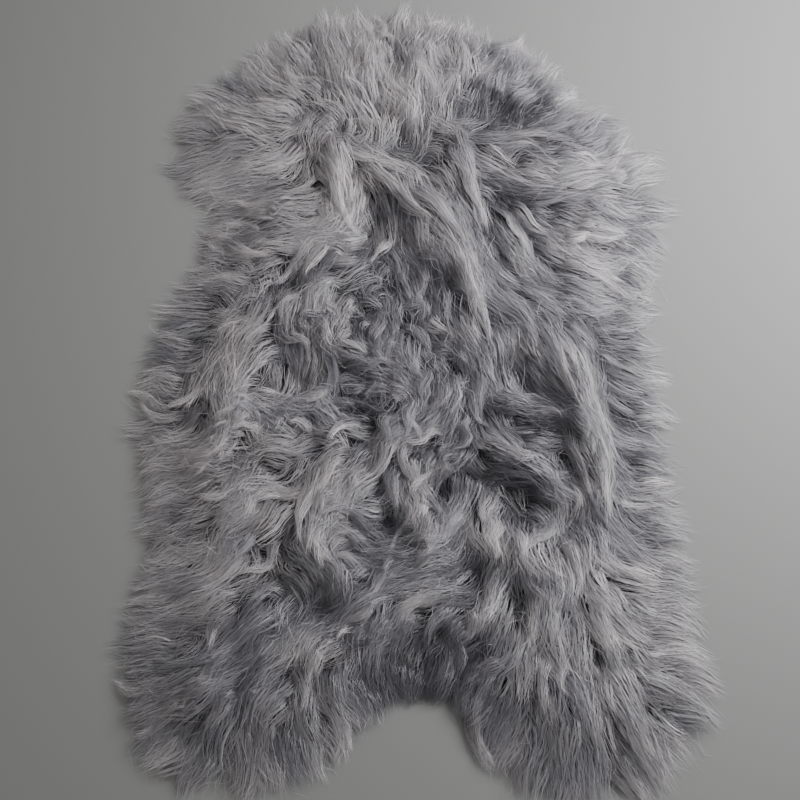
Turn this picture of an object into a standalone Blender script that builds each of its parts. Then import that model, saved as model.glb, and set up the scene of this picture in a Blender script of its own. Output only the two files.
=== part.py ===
"""A long-wooled sheepskin rug lying wool side up on a floor.

A sheepskin is one pelt, and it is one solid here: the tanned hide lies flat on the
floor but for some soft folds, and the fleece that grows from it is a thick lumpy slab
with pointed locks of wool all round its rim, which hang over the hide's edge.
The neck points to +Y, the hind legs to -Y, and the underside lies at z = 0.
"""

import math
from collections import namedtuple

import bmesh
import bpy
import numpy as np
from mathutils import Vector, noise
from mathutils.geometry import delaunay_2d_cdt

# Hide, in metres
HIDE_THICKNESS = 0.002
HIDE_EDGE_STEP = 0.021  # spacing of the points round its edge
HIDE_GRID = 0.030  # spacing of the points inside it
SKIN_SHARE = 0.45  # how much of a fold the hide itself rises; the wool makes the rest
FLAT_MARGIN = 0.045  # the hide is flat this near its edge

# Fleece, in metres
SLAB_REACH = 0.020  # how far the slab stands past the hide's edge
RIM_HEIGHT = 0.016
WOOL_DEPTH = 0.041  # over the hide, away from the rim
RIM_SLOPE = 0.085  # the slab rises to its full depth over this distance
LEAST_WOOL = 0.012
FLEECE_GRID = 0.0185
LUMP_HEIGHT = 0.011
LUMP_LENGTH = 0.050
RIM_LOCK_ZONE = 0.190  # nearer the rim than this, the lumps turn into long outward locks
RIM_LOCK_WIDTH = 0.036
RIM_LOCK_LENGTH = 0.130

# Locks round the rim
LOCK_PITCH = 0.0225
LOCK_WIDTH = 0.0165  # at the root, so that neighbours stand apart
LOCK_SWAY_DEG = 26.0  # the most that one bends to either side
LOCK_UNEVENNESS = 0.22  # share of its length by which a lock is shorter or longer
LockSection = namedtuple("LockSection", "along width height")
LOCK_SECTIONS = (  # shares of the length and root width, and the height over the floor
    LockSection(along=0.30, width=0.92, height=0.012),
    LockSection(along=0.58, width=0.74, height=0.009),
    LockSection(along=0.82, width=0.42, height=0.006),
)

SPLINE_STEPS = 16  # points worked out between two rows of HIDE_EDGE

EdgePoint = namedtuple("EdgePoint", "place x y wool")
HIDE_EDGE = (  # clockwise from the neck; wool is how far the locks reach past the edge
    EdgePoint("neck", -0.035, 0.500, 0.058),
    EdgePoint("neck", 0.035, 0.492, 0.056),
    EdgePoint("neck", 0.100, 0.470, 0.056),
    EdgePoint("right shoulder", 0.157, 0.430, 0.056),
    EdgePoint("right shoulder", 0.200, 0.378, 0.056),
    EdgePoint("right foreleg", 0.244, 0.326, 0.060),
    EdgePoint("right foreleg", 0.283, 0.268, 0.064),
    EdgePoint("right foreleg", 0.280, 0.203, 0.062),
    EdgePoint("right flank", 0.260, 0.138, 0.054),
    EdgePoint("right flank", 0.259, 0.070, 0.056),
    EdgePoint("right flank", 0.263, 0.000, 0.056),
    EdgePoint("right flank", 0.268, -0.068, 0.057),
    EdgePoint("right flank", 0.275, -0.136, 0.058),
    EdgePoint("right haunch", 0.281, -0.205, 0.060),
    EdgePoint("right haunch", 0.287, -0.273, 0.062),
    EdgePoint("right haunch", 0.291, -0.342, 0.066),
    EdgePoint("right hind leg", 0.298, -0.404, 0.070),
    EdgePoint("right hind leg", 0.282, -0.458, 0.068),
    EdgePoint("right hind leg", 0.228, -0.490, 0.064),
    EdgePoint("right hind leg", 0.163, -0.494, 0.062),
    EdgePoint("right hind leg", 0.110, -0.462, 0.050),
    EdgePoint("tail", 0.070, -0.412, 0.036),
    EdgePoint("tail", 0.012, -0.386, 0.036),
    EdgePoint("tail", -0.050, -0.399, 0.036),
    EdgePoint("left hind leg", -0.100, -0.442, 0.044),
    EdgePoint("left hind leg", -0.148, -0.478, 0.056),
    EdgePoint("left hind leg", -0.215, -0.484, 0.058),
    EdgePoint("left hind leg", -0.281, -0.466, 0.062),
    EdgePoint("left haunch", -0.307, -0.411, 0.060),
    EdgePoint("left haunch", -0.306, -0.342, 0.058),
    EdgePoint("left haunch", -0.297, -0.274, 0.058),
    EdgePoint("left flank", -0.291, -0.205, 0.056),
    EdgePoint("left flank", -0.300, -0.137, 0.056),
    EdgePoint("left flank", -0.310, -0.069, 0.058),
    EdgePoint("left flank", -0.305, 0.000, 0.058),
    EdgePoint("left flank", -0.285, 0.064, 0.056),
    EdgePoint("left flank", -0.255, 0.126, 0.054),
    EdgePoint("left flank", -0.234, 0.191, 0.052),
    EdgePoint("left foreleg", -0.240, 0.256, 0.054),
    EdgePoint("left foreleg", -0.276, 0.318, 0.062),
    EdgePoint("left foreleg", -0.264, 0.380, 0.058),
    EdgePoint("left shoulder", -0.213, 0.425, 0.054),
    EdgePoint("left shoulder", -0.163, 0.470, 0.054),
    EdgePoint("neck", -0.103, 0.496, 0.056),
)

# Folds of the skin stand up under the wool, and hollows are places where it parts
Fold = namedtuple("Fold", "place start middle end rise half_width")
FOLDS = (
    Fold("left shoulder", (-0.126, 0.358), (-0.109, 0.294), (-0.094, 0.212), 0.011, 0.042),
    Fold("down the back", (-0.086, 0.309), (0.030, 0.204), (0.090, 0.033), 0.020, 0.060),
    Fold("withers", (0.042, 0.347), (0.060, 0.286), (0.085, 0.197), 0.012, 0.044),
    Fold("small roll", (0.088, 0.249), (0.121, 0.197), (0.153, 0.143), 0.010, 0.036),
    Fold("right flank", (0.157, 0.061), (0.214, -0.049), (0.232, -0.181), 0.020, 0.060),
    Fold("right shoulder", (0.085, 0.327), (0.164, 0.330), (0.244, 0.309), 0.012, 0.044),
    Fold("hip", (0.063, -0.248), (0.117, -0.243), (0.155, -0.308), 0.011, 0.042),
    Fold("loin", (-0.099, -0.109), (-0.126, -0.168), (-0.143, -0.258), 0.010, 0.042),
    Fold("belly", (0.096, -0.116), (0.132, -0.136), (0.181, -0.155), 0.011, 0.042),
    Fold("rump", (-0.022, -0.302), (0.014, -0.289), (0.045, -0.258), 0.009, 0.040),
)
HOLLOWS = (
    Fold("nape", (0.058, 0.372), (0.125, 0.374), (0.199, 0.362), -0.018, 0.044),
    Fold("beside the roll", (0.098, 0.262), (0.121, 0.236), (0.143, 0.190), -0.010, 0.034),
    Fold("over the back", (-0.055, 0.330), (-0.022, 0.340), (0.018, 0.318), -0.012, 0.040),
    Fold("right rim", (0.252, 0.047), (0.264, -0.049), (0.272, -0.142), -0.013, 0.042),
    Fold("right ribs", (0.105, 0.047), (0.158, -0.049), (0.196, -0.168), -0.011, 0.042),
    Fold("under the belly", (0.076, -0.184), (0.149, -0.192), (0.210, -0.214), -0.012, 0.040),
    Fold("under the hip", (0.060, -0.288), (0.094, -0.292), (0.122, -0.288), -0.013, 0.040),
    Fold("left hip", (-0.159, -0.332), (-0.136, -0.314), (-0.106, -0.295), -0.012, 0.040),
    Fold("over the rump", (-0.040, -0.194), (-0.032, -0.220), (-0.040, -0.245), -0.012, 0.040),
    Fold("left ribs", (-0.185, -0.042), (-0.154, -0.015), (-0.142, 0.012), -0.011, 0.042),
    Fold("beside the back", (-0.064, 0.220), (-0.041, 0.160), (0.004, 0.110), -0.012, 0.052),
    Fold("tail", (-0.016, -0.395), (0.025, -0.372), (0.071, -0.362), -0.011, 0.044),
)

Finish = namedtuple("Finish", "name colour roughness")
GREY_WOOL = Finish("grey_wool", (0.23, 0.225, 0.235), 0.85)


def clear_scene():
    """Removes whatever the scene holds."""
    for thing in list(bpy.data.objects):
        bpy.data.objects.remove(thing)


def smooth_step(share):
    """0 to 1 with no corner at either end."""
    t = min(max(share, 0.0), 1.0)
    return t * t * (3.0 - 2.0 * t)


def hide_spline():
    """The hide's edge as close points, each (x, y, wool), on one closed smooth curve."""
    rows = np.array([(p.x, p.y, p.wool) for p in HIDE_EDGE])
    before, after, beyond = (np.roll(rows, shift, axis=0) for shift in (1, -1, -2))
    found = []
    for step in range(SPLINE_STEPS):
        t = step / SPLINE_STEPS
        slope = (after - before) * t
        bend = (2 * before - 5 * rows + 4 * after - beyond) * t**2
        turn = (3 * rows - before - 3 * after + beyond) * t**3
        found.append(rows + 0.5 * (slope + bend + turn))
    return np.stack(found, axis=1).reshape(-1, 3)


def lengths_along(curve):
    """Distance from the first point to each, and back to the first again."""
    steps = np.linalg.norm(np.roll(curve, -1, axis=0)[:, :2] - curve[:, :2], axis=1)
    return np.concatenate([[0.0], np.cumsum(steps)])


def points_at(curve, places):
    """The closed curve's values at distances along it."""
    along = lengths_along(curve)
    closed = np.vstack([curve, curve[:1]])
    wrapped = np.mod(places, along[-1])
    columns = [np.interp(wrapped, along, closed[:, k]) for k in range(curve.shape[1])]
    return np.stack(columns, axis=1)


def outward(curve):
    """The unit normal at each point of a clockwise loop, pointing out of it."""
    ahead = np.roll(curve, -1, axis=0)[:, :2] - np.roll(curve, 1, axis=0)[:, :2]
    ahead /= np.linalg.norm(ahead, axis=1)[:, None]
    return np.stack([-ahead[:, 1], ahead[:, 0]], axis=1)


def inside(points, loop):
    """For each point, whether the loop goes round it."""
    x, y = points[:, 0][:, None], points[:, 1][:, None]
    x0, y0 = loop[:, 0], loop[:, 1]
    x1, y1 = np.roll(x0, -1), np.roll(y0, -1)
    spans = (y0 > y) != (y1 > y)
    rise = np.where(y1 == y0, 1.0, y1 - y0)
    crosses = spans & (x < x0 + (y - y0) / rise * (x1 - x0))
    return crosses.sum(axis=1) % 2 == 1


def nearest_on(points, loop):
    """For each point, its distance to a closed loop and how far along the loop that is."""
    start = loop[:, :2][None]
    edge = np.roll(loop[:, :2], -1, axis=0)[None] - start
    offset = points[:, None, :2] - start
    share = (offset * edge).sum(axis=2) / np.maximum((edge * edge).sum(axis=2), 1e-12)
    share = np.clip(share, 0.0, 1.0)
    apart = np.linalg.norm(offset - share[..., None] * edge, axis=2)
    best = apart.argmin(axis=1)
    each = np.arange(len(points))
    lengths = np.linalg.norm(edge[0], axis=1)
    return apart[each, best], lengths_along(loop)[best] + share[each, best] * lengths[best]


def distance_to(points, loop):
    """Each point's distance to a closed loop."""
    return nearest_on(points, loop)[0]


def grid_inside(loop, spacing):
    """Points of a triangular grid within a loop, clear of its edge."""
    low, high = loop[:, :2].min(axis=0), loop[:, :2].max(axis=0)
    row_step = spacing * math.sqrt(0.75)
    found = []
    for row in range(int((high[1] - low[1]) / row_step) + 1):
        y = low[1] + row * row_step
        shift = spacing / 2 * (row % 2)
        found += [(x, y) for x in np.arange(low[0] + shift, high[0], spacing)]
    found = np.array(found)
    found = found[inside(found, loop)]
    return found[distance_to(found, loop) > 0.55 * spacing]


def triangles_of(loop_points, grid_points, hole=None):
    """Triangles between a loop and the points inside it, leaving out a hole's loop.

    They index the loop's points, then the hole's, then the grid's.
    """
    loops = [loop_points] if hole is None else [loop_points, hole]
    edges, first = [], 0
    for loop in loops:
        count = len(loop)
        edges += [(first + i, first + (i + 1) % count) for i in range(count)]
        first += count
    flat = np.vstack([loop[:, :2] for loop in loops] + [grid_points])
    whole_mesh = 0  # Delaunay triangles out to the convex outline
    made = delaunay_2d_cdt([Vector(p) for p in flat], edges, [], whole_mesh, 1e-7)
    places, faces, sources = made[0], made[2], made[3]
    middles = np.array([np.mean([places[i] for i in face], axis=0) for face in faces])
    kept = inside(middles, loop_points)
    if hole is not None:
        kept &= ~inside(middles, hole)
    return [tuple(sources[i][0] for i in face) for face, keep in zip(faces, kept) if keep]


def rise_of(fold, x, y):
    """How high one fold stands at a place, falling smoothly to nothing beside it."""
    here = Vector((x, y))
    path = [Vector(p) for p in (fold.start, fold.middle, fold.end)]
    total = sum((b - a).length for a, b in zip(path, path[1:]))
    best, along_best, passed = math.inf, 0.0, 0.0
    for a, b in zip(path, path[1:]):
        span = b - a
        share = min(max((here - a).dot(span) / span.length_squared, 0.0), 1.0)
        apart = (a + span * share - here).length
        if apart < best:
            best, along_best = apart, passed + share * span.length
        passed += span.length
    if best >= fold.half_width:
        return 0.0
    across = (1.0 - (best / fold.half_width) ** 2) ** 2
    from_middle = abs(along_best / total - 0.5) * 2.0
    return fold.rise * across * (1.0 - 0.35 * from_middle**2)


def skin_height(x, y, from_edge):
    """Height of the hide's underside over the floor."""
    lift = max(rise_of(fold, x, y) for fold in FOLDS)
    return SKIN_SHARE * lift * smooth_step(from_edge / FLAT_MARGIN - 1.0)


def lumps(x, y, from_rim, along_rim):
    """The fleece's unevenness at the scale of its locks, from about -1 to 1."""
    coarse = noise.noise(Vector((x, 0.8 * y, 0.3)) / LUMP_LENGTH)
    fine = noise.noise(Vector((1.9 * x, 1.7 * y, 4.1)) / LUMP_LENGTH)
    locks = noise.noise(Vector((along_rim / RIM_LOCK_WIDTH, from_rim / RIM_LOCK_LENGTH, 9.0)))
    inner = smooth_step(from_rim / RIM_LOCK_ZONE)
    return (coarse + 0.6 * fine) * inner + 1.5 * locks * (1.0 - inner)


def wool_height(x, y, skin, from_rim, along_rim):
    """Height of the fleece's top over the floor."""
    full = smooth_step(from_rim / RIM_SLOPE)
    relief = max(rise_of(fold, x, y) for fold in FOLDS)
    relief += min(rise_of(hollow, x, y) for hollow in HOLLOWS)
    deep = HIDE_THICKNESS + WOOL_DEPTH + relief
    deep += LUMP_HEIGHT * lumps(x, y, from_rim, along_rim)
    height = RIM_HEIGHT + (deep - RIM_HEIGHT) * full
    return max(height, skin + HIDE_THICKNESS + LEAST_WOOL)


def add_ring(mesh, lower, upper):
    """Quads that join two rings of vertices, and the faces made."""
    count = len(lower)
    return [
        mesh.faces.new((lower[i], lower[(i + 1) % count], upper[(i + 1) % count], upper[i]))
        for i in range(count)
    ]


def add_triangles(mesh, vertices, triangles):
    """Faces between vertices, from triangles of their indices."""
    for triangle in triangles:
        mesh.faces.new([vertices[i] for i in triangle])


def new_object(name, mesh, finish):
    """A shaded object in the scene from a closed bmesh, with its own material."""
    bmesh.ops.triangulate(mesh, faces=[f for f in mesh.faces if len(f.verts) > 3])
    bmesh.ops.recalc_face_normals(mesh, faces=mesh.faces)
    data = bpy.data.meshes.new(name)
    mesh.to_mesh(data)
    mesh.free()
    data.shade_smooth()
    data.set_sharp_from_angle(angle=math.radians(50))
    material = bpy.data.materials.new(finish.name)
    material.use_nodes = True
    shader = material.node_tree.nodes["Principled BSDF"]
    shader.inputs["Base Color"].default_value = (*finish.colour, 1.0)
    shader.inputs["Roughness"].default_value = finish.roughness
    shader.inputs["Metallic"].default_value = 0.0
    data.materials.append(material)
    made = bpy.data.objects.new(name, data)
    bpy.context.scene.collection.objects.link(made)
    return made


def hide_edge():
    """Points spaced evenly round the hide's edge."""
    curve = hide_spline()
    around = lengths_along(curve)[-1]
    count = round(around / HIDE_EDGE_STEP)
    return points_at(curve, np.arange(count) * around / count)[:, :2]


def slab_rim():
    """The slab's edge as lock roots: for each lock its two corners, way out and length."""
    curve = hide_spline()
    around = lengths_along(curve)[-1]
    dense = points_at(curve, np.linspace(0.0, around, 1200, endpoint=False))
    rim = np.column_stack([dense[:, :2] + SLAB_REACH * outward(dense), dense[:, 2]])
    rim_around = lengths_along(rim)[-1]
    count = round(rim_around / LOCK_PITCH)
    middles = np.arange(count) * rim_around / count
    left = points_at(rim, middles - LOCK_WIDTH / 2)
    right = points_at(rim, middles + LOCK_WIDTH / 2)
    corners = np.stack([left[:, :2], right[:, :2]], axis=1).reshape(-1, 2)
    ways = right[:, :2] - left[:, :2]
    ways = np.stack([-ways[:, 1], ways[:, 0]], axis=1) / np.linalg.norm(ways, axis=1)[:, None]
    lengths = points_at(rim, middles)[:, 2] - SLAB_REACH
    return corners, ways, [float(length) for length in lengths]


def add_lock(mesh, root, way, length, index):
    """One pointed lock of wool that grows from four vertices and lies on the floor.

    root is (lower left, lower right, upper right, upper left).
    """
    sway = math.radians(LOCK_SWAY_DEG) * noise.noise(Vector((index / 5.0, 0.5, 2.0)))
    stretch = 1.0 + LOCK_UNEVENNESS * noise.noise(Vector((index * 0.83, 7.3, 0.1))) * 1.6
    middle = (root[0].co + root[1].co) / 2
    aim = Vector((*way, 0.0))
    side = Vector((way[1], -way[0], 0.0))
    ring = list(root)
    for section in LOCK_SECTIONS:
        turn = 2.0 * sway * section.along
        centre = middle + length * stretch * section.along * (aim + side * math.tan(turn))
        half = side * (LOCK_WIDTH / 2 * section.width)
        top = Vector((0.0, 0.0, section.height))
        places = (centre - half, centre + half, centre + half + top, centre - half + top)
        after = [mesh.verts.new(place) for place in places]
        add_ring(mesh, ring, after)
        ring = after
    tip = mesh.verts.new(middle + length * stretch * (aim + side * math.tan(2.0 * sway)))
    for i in range(4):
        mesh.faces.new((ring[i], ring[(i + 1) % 4], tip))


def add_top(mesh, rim, edge):
    """The wool's upper surface. Returns the vertices at its rim."""
    grid = grid_inside(rim, FLEECE_GRID)
    flat = np.vstack([rim, grid])
    from_edge = np.where(inside(flat, edge), distance_to(flat, edge), 0.0)
    vertices = []
    for (x, y), rim_gap, along_rim, edge_gap in zip(flat, *nearest_on(flat, rim), from_edge):
        skin = skin_height(x, y, edge_gap)
        height = wool_height(x, y, skin, rim_gap, along_rim)
        vertices.append(mesh.verts.new((x, y, height)))
    add_triangles(mesh, vertices, triangles_of(rim, grid))
    return vertices[: len(rim)]


def add_underside(mesh, rim, edge):
    """The hide on the floor, and the wool that bridges down from its edge to the floor.

    Returns the vertices at the rim.
    """
    grid = grid_inside(edge, HIDE_GRID)
    flat = np.vstack([edge, grid])
    margins = distance_to(flat, edge)
    hide = [mesh.verts.new((x, y, skin_height(x, y, m))) for (x, y), m in zip(flat, margins)]
    add_triangles(mesh, hide, triangles_of(edge, grid))
    over_edge = [mesh.verts.new((x, y, HIDE_THICKNESS)) for x, y in edge]
    add_ring(mesh, hide[: len(edge)], over_edge)
    foot = [mesh.verts.new((x, y, 0.0)) for x, y in rim]
    no_grid = np.empty((0, 2))
    add_triangles(mesh, foot + over_edge, triangles_of(rim, no_grid, hole=edge))
    return foot


def build_pelt():
    """The whole rug as one closed solid."""
    mesh = bmesh.new()
    edge = hide_edge()
    rim, ways, lengths = slab_rim()
    upper = add_top(mesh, rim, edge)
    foot = add_underside(mesh, rim, edge)
    for i in range(len(rim)):
        j = (i + 1) % len(rim)
        root = (foot[i], foot[j], upper[j], upper[i])
        if i % 2:
            mesh.faces.new(root)
        else:
            add_lock(mesh, root, ways[i // 2], lengths[i // 2], i // 2)
    return new_object("sheepskin", mesh, GREY_WOOL)


def centre_on_origin(part):
    """Moves the part so that its box is centred over the origin."""
    for axis in (0, 1):
        along = [vertex.co[axis] for vertex in part.data.vertices]
        part.location[axis] = -(min(along) + max(along)) / 2


def main():
    """Builds the rug."""
    clear_scene()
    centre_on_origin(build_pelt())


main()
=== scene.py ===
"""A grey long-wooled sheepskin rug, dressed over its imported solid.

The tanned hide lies on the floor, a dense underwool covers it, and thousands of wavy
locks, each a bundle of fine tapered strands, grow out of that and lie over one another
the way the wool is combed. All sizes are in metres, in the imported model's frame: the
neck points to +Y, the hind legs to -Y, and the floor is at z = 0.
"""

import logging
import math
from dataclasses import dataclass, field, fields, replace
from enum import Enum
from typing import NamedTuple

import bmesh
import bpy
import numpy as np
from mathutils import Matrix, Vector, noise
from mathutils.bvhtree import BVHTree
from mathutils.geometry import delaunay_2d_cdt


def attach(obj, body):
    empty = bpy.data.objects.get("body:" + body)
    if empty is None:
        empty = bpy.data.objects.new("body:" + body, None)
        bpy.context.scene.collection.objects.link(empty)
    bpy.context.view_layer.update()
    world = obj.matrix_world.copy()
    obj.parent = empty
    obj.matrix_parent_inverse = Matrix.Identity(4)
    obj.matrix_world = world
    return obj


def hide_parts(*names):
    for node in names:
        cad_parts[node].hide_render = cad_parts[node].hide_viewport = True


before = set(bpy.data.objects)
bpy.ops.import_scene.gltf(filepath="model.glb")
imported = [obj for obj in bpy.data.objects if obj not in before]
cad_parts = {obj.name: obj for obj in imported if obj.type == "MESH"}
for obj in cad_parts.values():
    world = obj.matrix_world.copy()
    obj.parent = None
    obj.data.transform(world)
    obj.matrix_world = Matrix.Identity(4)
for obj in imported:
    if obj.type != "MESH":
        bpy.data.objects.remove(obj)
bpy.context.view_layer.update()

LOG = logging.getLogger("sheepskin_rug")

NODE = "sheepskin"
BODY = "root"
STRAND_UV = "OFBake"  # the name of the strands' layout
PHOTO_PX = 800
UP = np.array([0.0, 0.0, 1.0])
ABOVE, BELOW = 1.0, -1.0  # the sides that the solid is looked at from
SHADE_RANGE = (0.03, 0.97)
ANY_PHASE = 6.28  # about a turn


class Slot(Enum):
    """The record's material slots."""

    WOOL = "wool"
    HIDE = "hide"


class Combed(NamedTuple):
    """How the wool lies at one place of the photograph.

    heading is where the tips point: 0 is to the right, 90 up the picture. curl is 0 for
    straight wool and 1 for ringlets.
    """

    px: float
    py: float
    heading: float
    curl: float


COMBED = tuple(
    Combed(*row)
    for row in (
        # the neck and the left foreleg
        (280, 50, 115, 0.4), (330, 20, 95, 0.4), (400, 30, 85, 0.9), (470, 30, 70, 0.4),
        (520, 45, 50, 0.3), (250, 60, 130, 0.4), (215, 80, 155, 0.3), (190, 110, 160, 0.3),
        (180, 150, 175, 0.3), (190, 190, -165, 0.4), (300, 105, 150, 0.4), (260, 120, 170, 0.3),
        (340, 60, 95, 0.4), (410, 75, 88, 0.6), (360, 110, 112, 0.4), (400, 115, 95, 0.4),
        (430, 130, 85, 0.5), (440, 95, 100, 0.5), (475, 85, 75, 0.5), (505, 90, 50, 0.5),
        # the right shoulder and foreleg
        (560, 80, 40, 0.5), (600, 120, 30, 0.5), (640, 160, 12, 0.5), (650, 200, 5, 0.5),
        (650, 240, -5, 0.5), (480, 132, -15, 0.4), (520, 132, -3, 0.5), (590, 160, 12, 0.5),
        (560, 190, 15, 0.5), (560, 215, 0, 0.5), (560, 240, -10, 0.5), (600, 275, 0, 0.6),
        (620, 290, 5, 0.4),
        # the right flank
        (640, 330, -20, 0.4), (650, 380, -40, 0.9), (655, 430, -10, 0.4), (660, 480, -5, 0.3),
        (670, 540, -20, 0.3), (660, 600, -20, 0.3), (620, 580, -30, 0.3),
        # the right hind leg
        (640, 640, -40, 0.3), (680, 680, -30, 0.3), (640, 720, -50, 0.3), (700, 730, -15, 0.3),
        (660, 770, -45, 0.3), (600, 780, -75, 0.3), (590, 640, -75, 0.3), (600, 720, -75, 0.3),
        (560, 700, -85, 0.3), (550, 780, -88, 0.3), (500, 760, -78, 0.3),
        # the tail and the left hind leg
        (450, 700, -130, 0.4), (420, 690, -90, 0.5), (390, 700, -80, 0.4), (350, 740, -70, 0.4),
        (340, 700, -90, 0.4), (300, 760, -88, 0.3), (300, 700, -105, 0.3), (250, 770, -95, 0.3),
        (250, 680, -130, 0.4), (200, 770, -110, 0.3), (160, 780, -115, 0.3), (150, 720, -150, 0.5),
        (140, 690, -170, 0.8),
        # the left flank
        (140, 640, -175, 0.9), (150, 600, -150, 0.4), (160, 550, -130, 0.4), (150, 480, -145, 0.3),
        (140, 420, 180, 0.4), (150, 380, 175, 0.4), (170, 330, -175, 0.4), (190, 290, 175, 0.3),
        (210, 240, 168, 0.3), (200, 620, -150, 0.4), (220, 580, -140, 0.4), (260, 600, -120, 0.5),
        # the left side of the back
        (240, 160, -178, 0.3), (240, 200, 178, 0.3), (270, 230, 170, 0.6), (230, 260, 160, 0.5),
        (322, 130, -82, 0.3), (335, 165, -80, 0.3), (342, 205, -72, 0.3), (310, 215, 170, 0.5),
        (345, 235, 175, 0.6), (292, 270, -95, 0.6), (312, 305, -55, 0.5), (365, 335, -75, 0.8),
        (308, 350, -60, 0.5), (250, 335, -140, 0.4), (330, 275, -170, 1.0), (310, 310, -110, 1.0),
        (240, 330, -115, 0.5), (210, 350, -100, 0.5), (200, 400, -100, 0.5), (270, 430, 155, 0.9),
        (270, 475, -165, 0.7), (320, 490, -105, 0.5), (310, 570, -40, 0.6), (350, 560, -170, 0.7),
        (360, 520, 180, 0.7), (330, 620, -125, 0.6), (380, 650, -110, 0.5), (380, 600, -140, 0.7),
        # the middle of the back
        (360, 358, 10, 1.0), (345, 415, 150, 1.0), (390, 445, -105, 0.6), (415, 495, -75, 0.8),
        (450, 440, -120, 1.0), (420, 560, 180, 0.6), (430, 590, -175, 0.5), (390, 300, -60, 1.0),
        (370, 215, -100, 0.7), (400, 230, -80, 0.6), (440, 280, -90, 0.6), (440, 350, -50, 0.7),
        (480, 360, -80, 0.5),
        # the folds of the shoulder
        (360, 158, -50, 0.3), (400, 190, -50, 0.3), (440, 220, -55, 0.3), (462, 260, -63, 0.3),
        (475, 300, -68, 0.3), (490, 345, -72, 0.3), (452, 135, -68, 0.3), (462, 155, -66, 0.3),
        (480, 225, -72, 0.3), (500, 200, -55, 0.2), (535, 262, -58, 0.2), (520, 290, -35, 0.4),
        (550, 330, -50, 0.4), (520, 350, -50, 0.4),
        # the fold of the right flank
        (560, 400, -45, 0.4), (590, 350, -70, 0.3), (600, 400, -72, 0.3), (615, 480, -88, 0.3),
        (530, 415, 20, 0.7), (555, 430, -35, 0.6), (580, 465, -65, 0.4), (520, 440, -60, 0.6),
        (520, 480, -10, 0.7), (570, 475, -55, 0.5), (500, 520, -60, 0.6), (485, 525, -115, 0.5),
        (565, 550, -70, 0.4), (540, 620, -85, 0.5), (500, 620, -100, 0.5), (460, 610, -125, 0.6),
    )
)


class Tress(NamedTuple):
    """A curl or a band of locks that stands out in the photograph.

    points is its line from root to tip, in the photograph's pixels. width is in metres,
    tone is as in Patch, partly a painted highlight on its crest, and locks is how many it has.
    """

    points: tuple[tuple[float, float], ...]
    width: float
    tone: float
    locks: int


TRESSES = (
    # the long fold from the neck to the middle of the back
    Tress(
        ((348, 140), (375, 166), (408, 192), (442, 224), (464, 262), (480, 305), (492, 352)),
        0.034,
        0.21,
        11,
    ),
    # the withers, and the small roll beside them
    Tress(((445, 108), (455, 138), (466, 172), (484, 228)), 0.022, 0.22, 4),
    Tress(((480, 184), (500, 204), (522, 232), (540, 268)), 0.018, 0.19, 3),
    # the fold of the right flank
    Tress(((546, 290), (570, 338), (589, 384), (602, 430), (612, 474), (611, 530)), 0.026, 0.28, 8),
    Tress(((532, 298), (547, 334), (561, 368), (583, 412)), 0.011, 0.24, 2),
    Tress(((552, 396), (570, 430), (586, 462), (597, 506)), 0.012, 0.24, 2),
    # beside the neck
    Tress(((320, 108), (333, 165), (343, 200), (353, 226), (370, 232)), 0.016, 0.24, 3),
    # curls of the middle of the back
    Tress(((340, 438), (326, 462), (314, 492), (306, 525), (302, 558)), 0.022, 0.23, 3),
    Tress(((380, 430), (360, 416), (338, 420), (321, 444)), 0.014, 0.23, 1),
    Tress(((398, 420), (388, 445), (379, 465), (368, 484)), 0.014, 0.21, 1),
    Tress(((392, 466), (412, 477), (424, 500), (414, 534)), 0.016, 0.25, 2),
    Tress(((504, 502), (490, 522), (480, 549)), 0.014, 0.23, 1),
    Tress(((553, 514), (568, 545), (580, 570), (586, 594)), 0.014, 0.22, 1),
    Tress(((356, 268), (330, 271), (313, 287), (307, 314)), 0.016, 0.19, 2),
    Tress(((466, 598), (470, 618), (455, 642)), 0.014, 0.20, 1),
    # the sides of the bay between the hind legs
    Tress(((474, 690), (472, 718), (480, 744), (498, 772)), 0.020, 0.26, 3),
    Tress(((320, 676), (336, 704), (348, 732), (355, 758)), 0.020, 0.16, 3),
    Tress(((340, 664), (357, 688), (364, 710), (366, 730)), 0.016, 0.02, 2),
    # wisps that cross the shoulder and the flanks
    Tress(((206, 236), (238, 250), (272, 259)), 0.014, 0.19, 2),
    Tress(((536, 276), (558, 257), (586, 260), (614, 282), (645, 292)), 0.020, 0.24, 3),
    Tress(((546, 156), (566, 144), (590, 149), (606, 168)), 0.014, 0.20, 1),
    Tress(((548, 232), (575, 226), (605, 236), (632, 232)), 0.016, 0.18, 2),
    Tress(((515, 200), (545, 182), (580, 172), (615, 170)), 0.020, 0.19, 3),
    Tress(((475, 586), (430, 590), (392, 598)), 0.018, 0.19, 2),
)


class Patch(NamedTuple):
    """A part of the fleece that is paler, darker or lower, round a pixel of the photograph.

    reach and hollow are in metres. tone is 0.1 for wool that is about a tenth paler. The tone
    is partly the wool's own and partly painted light and shade.
    """

    px: float
    py: float
    reach: float
    tone: float
    hollow: float = 0.0


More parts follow.
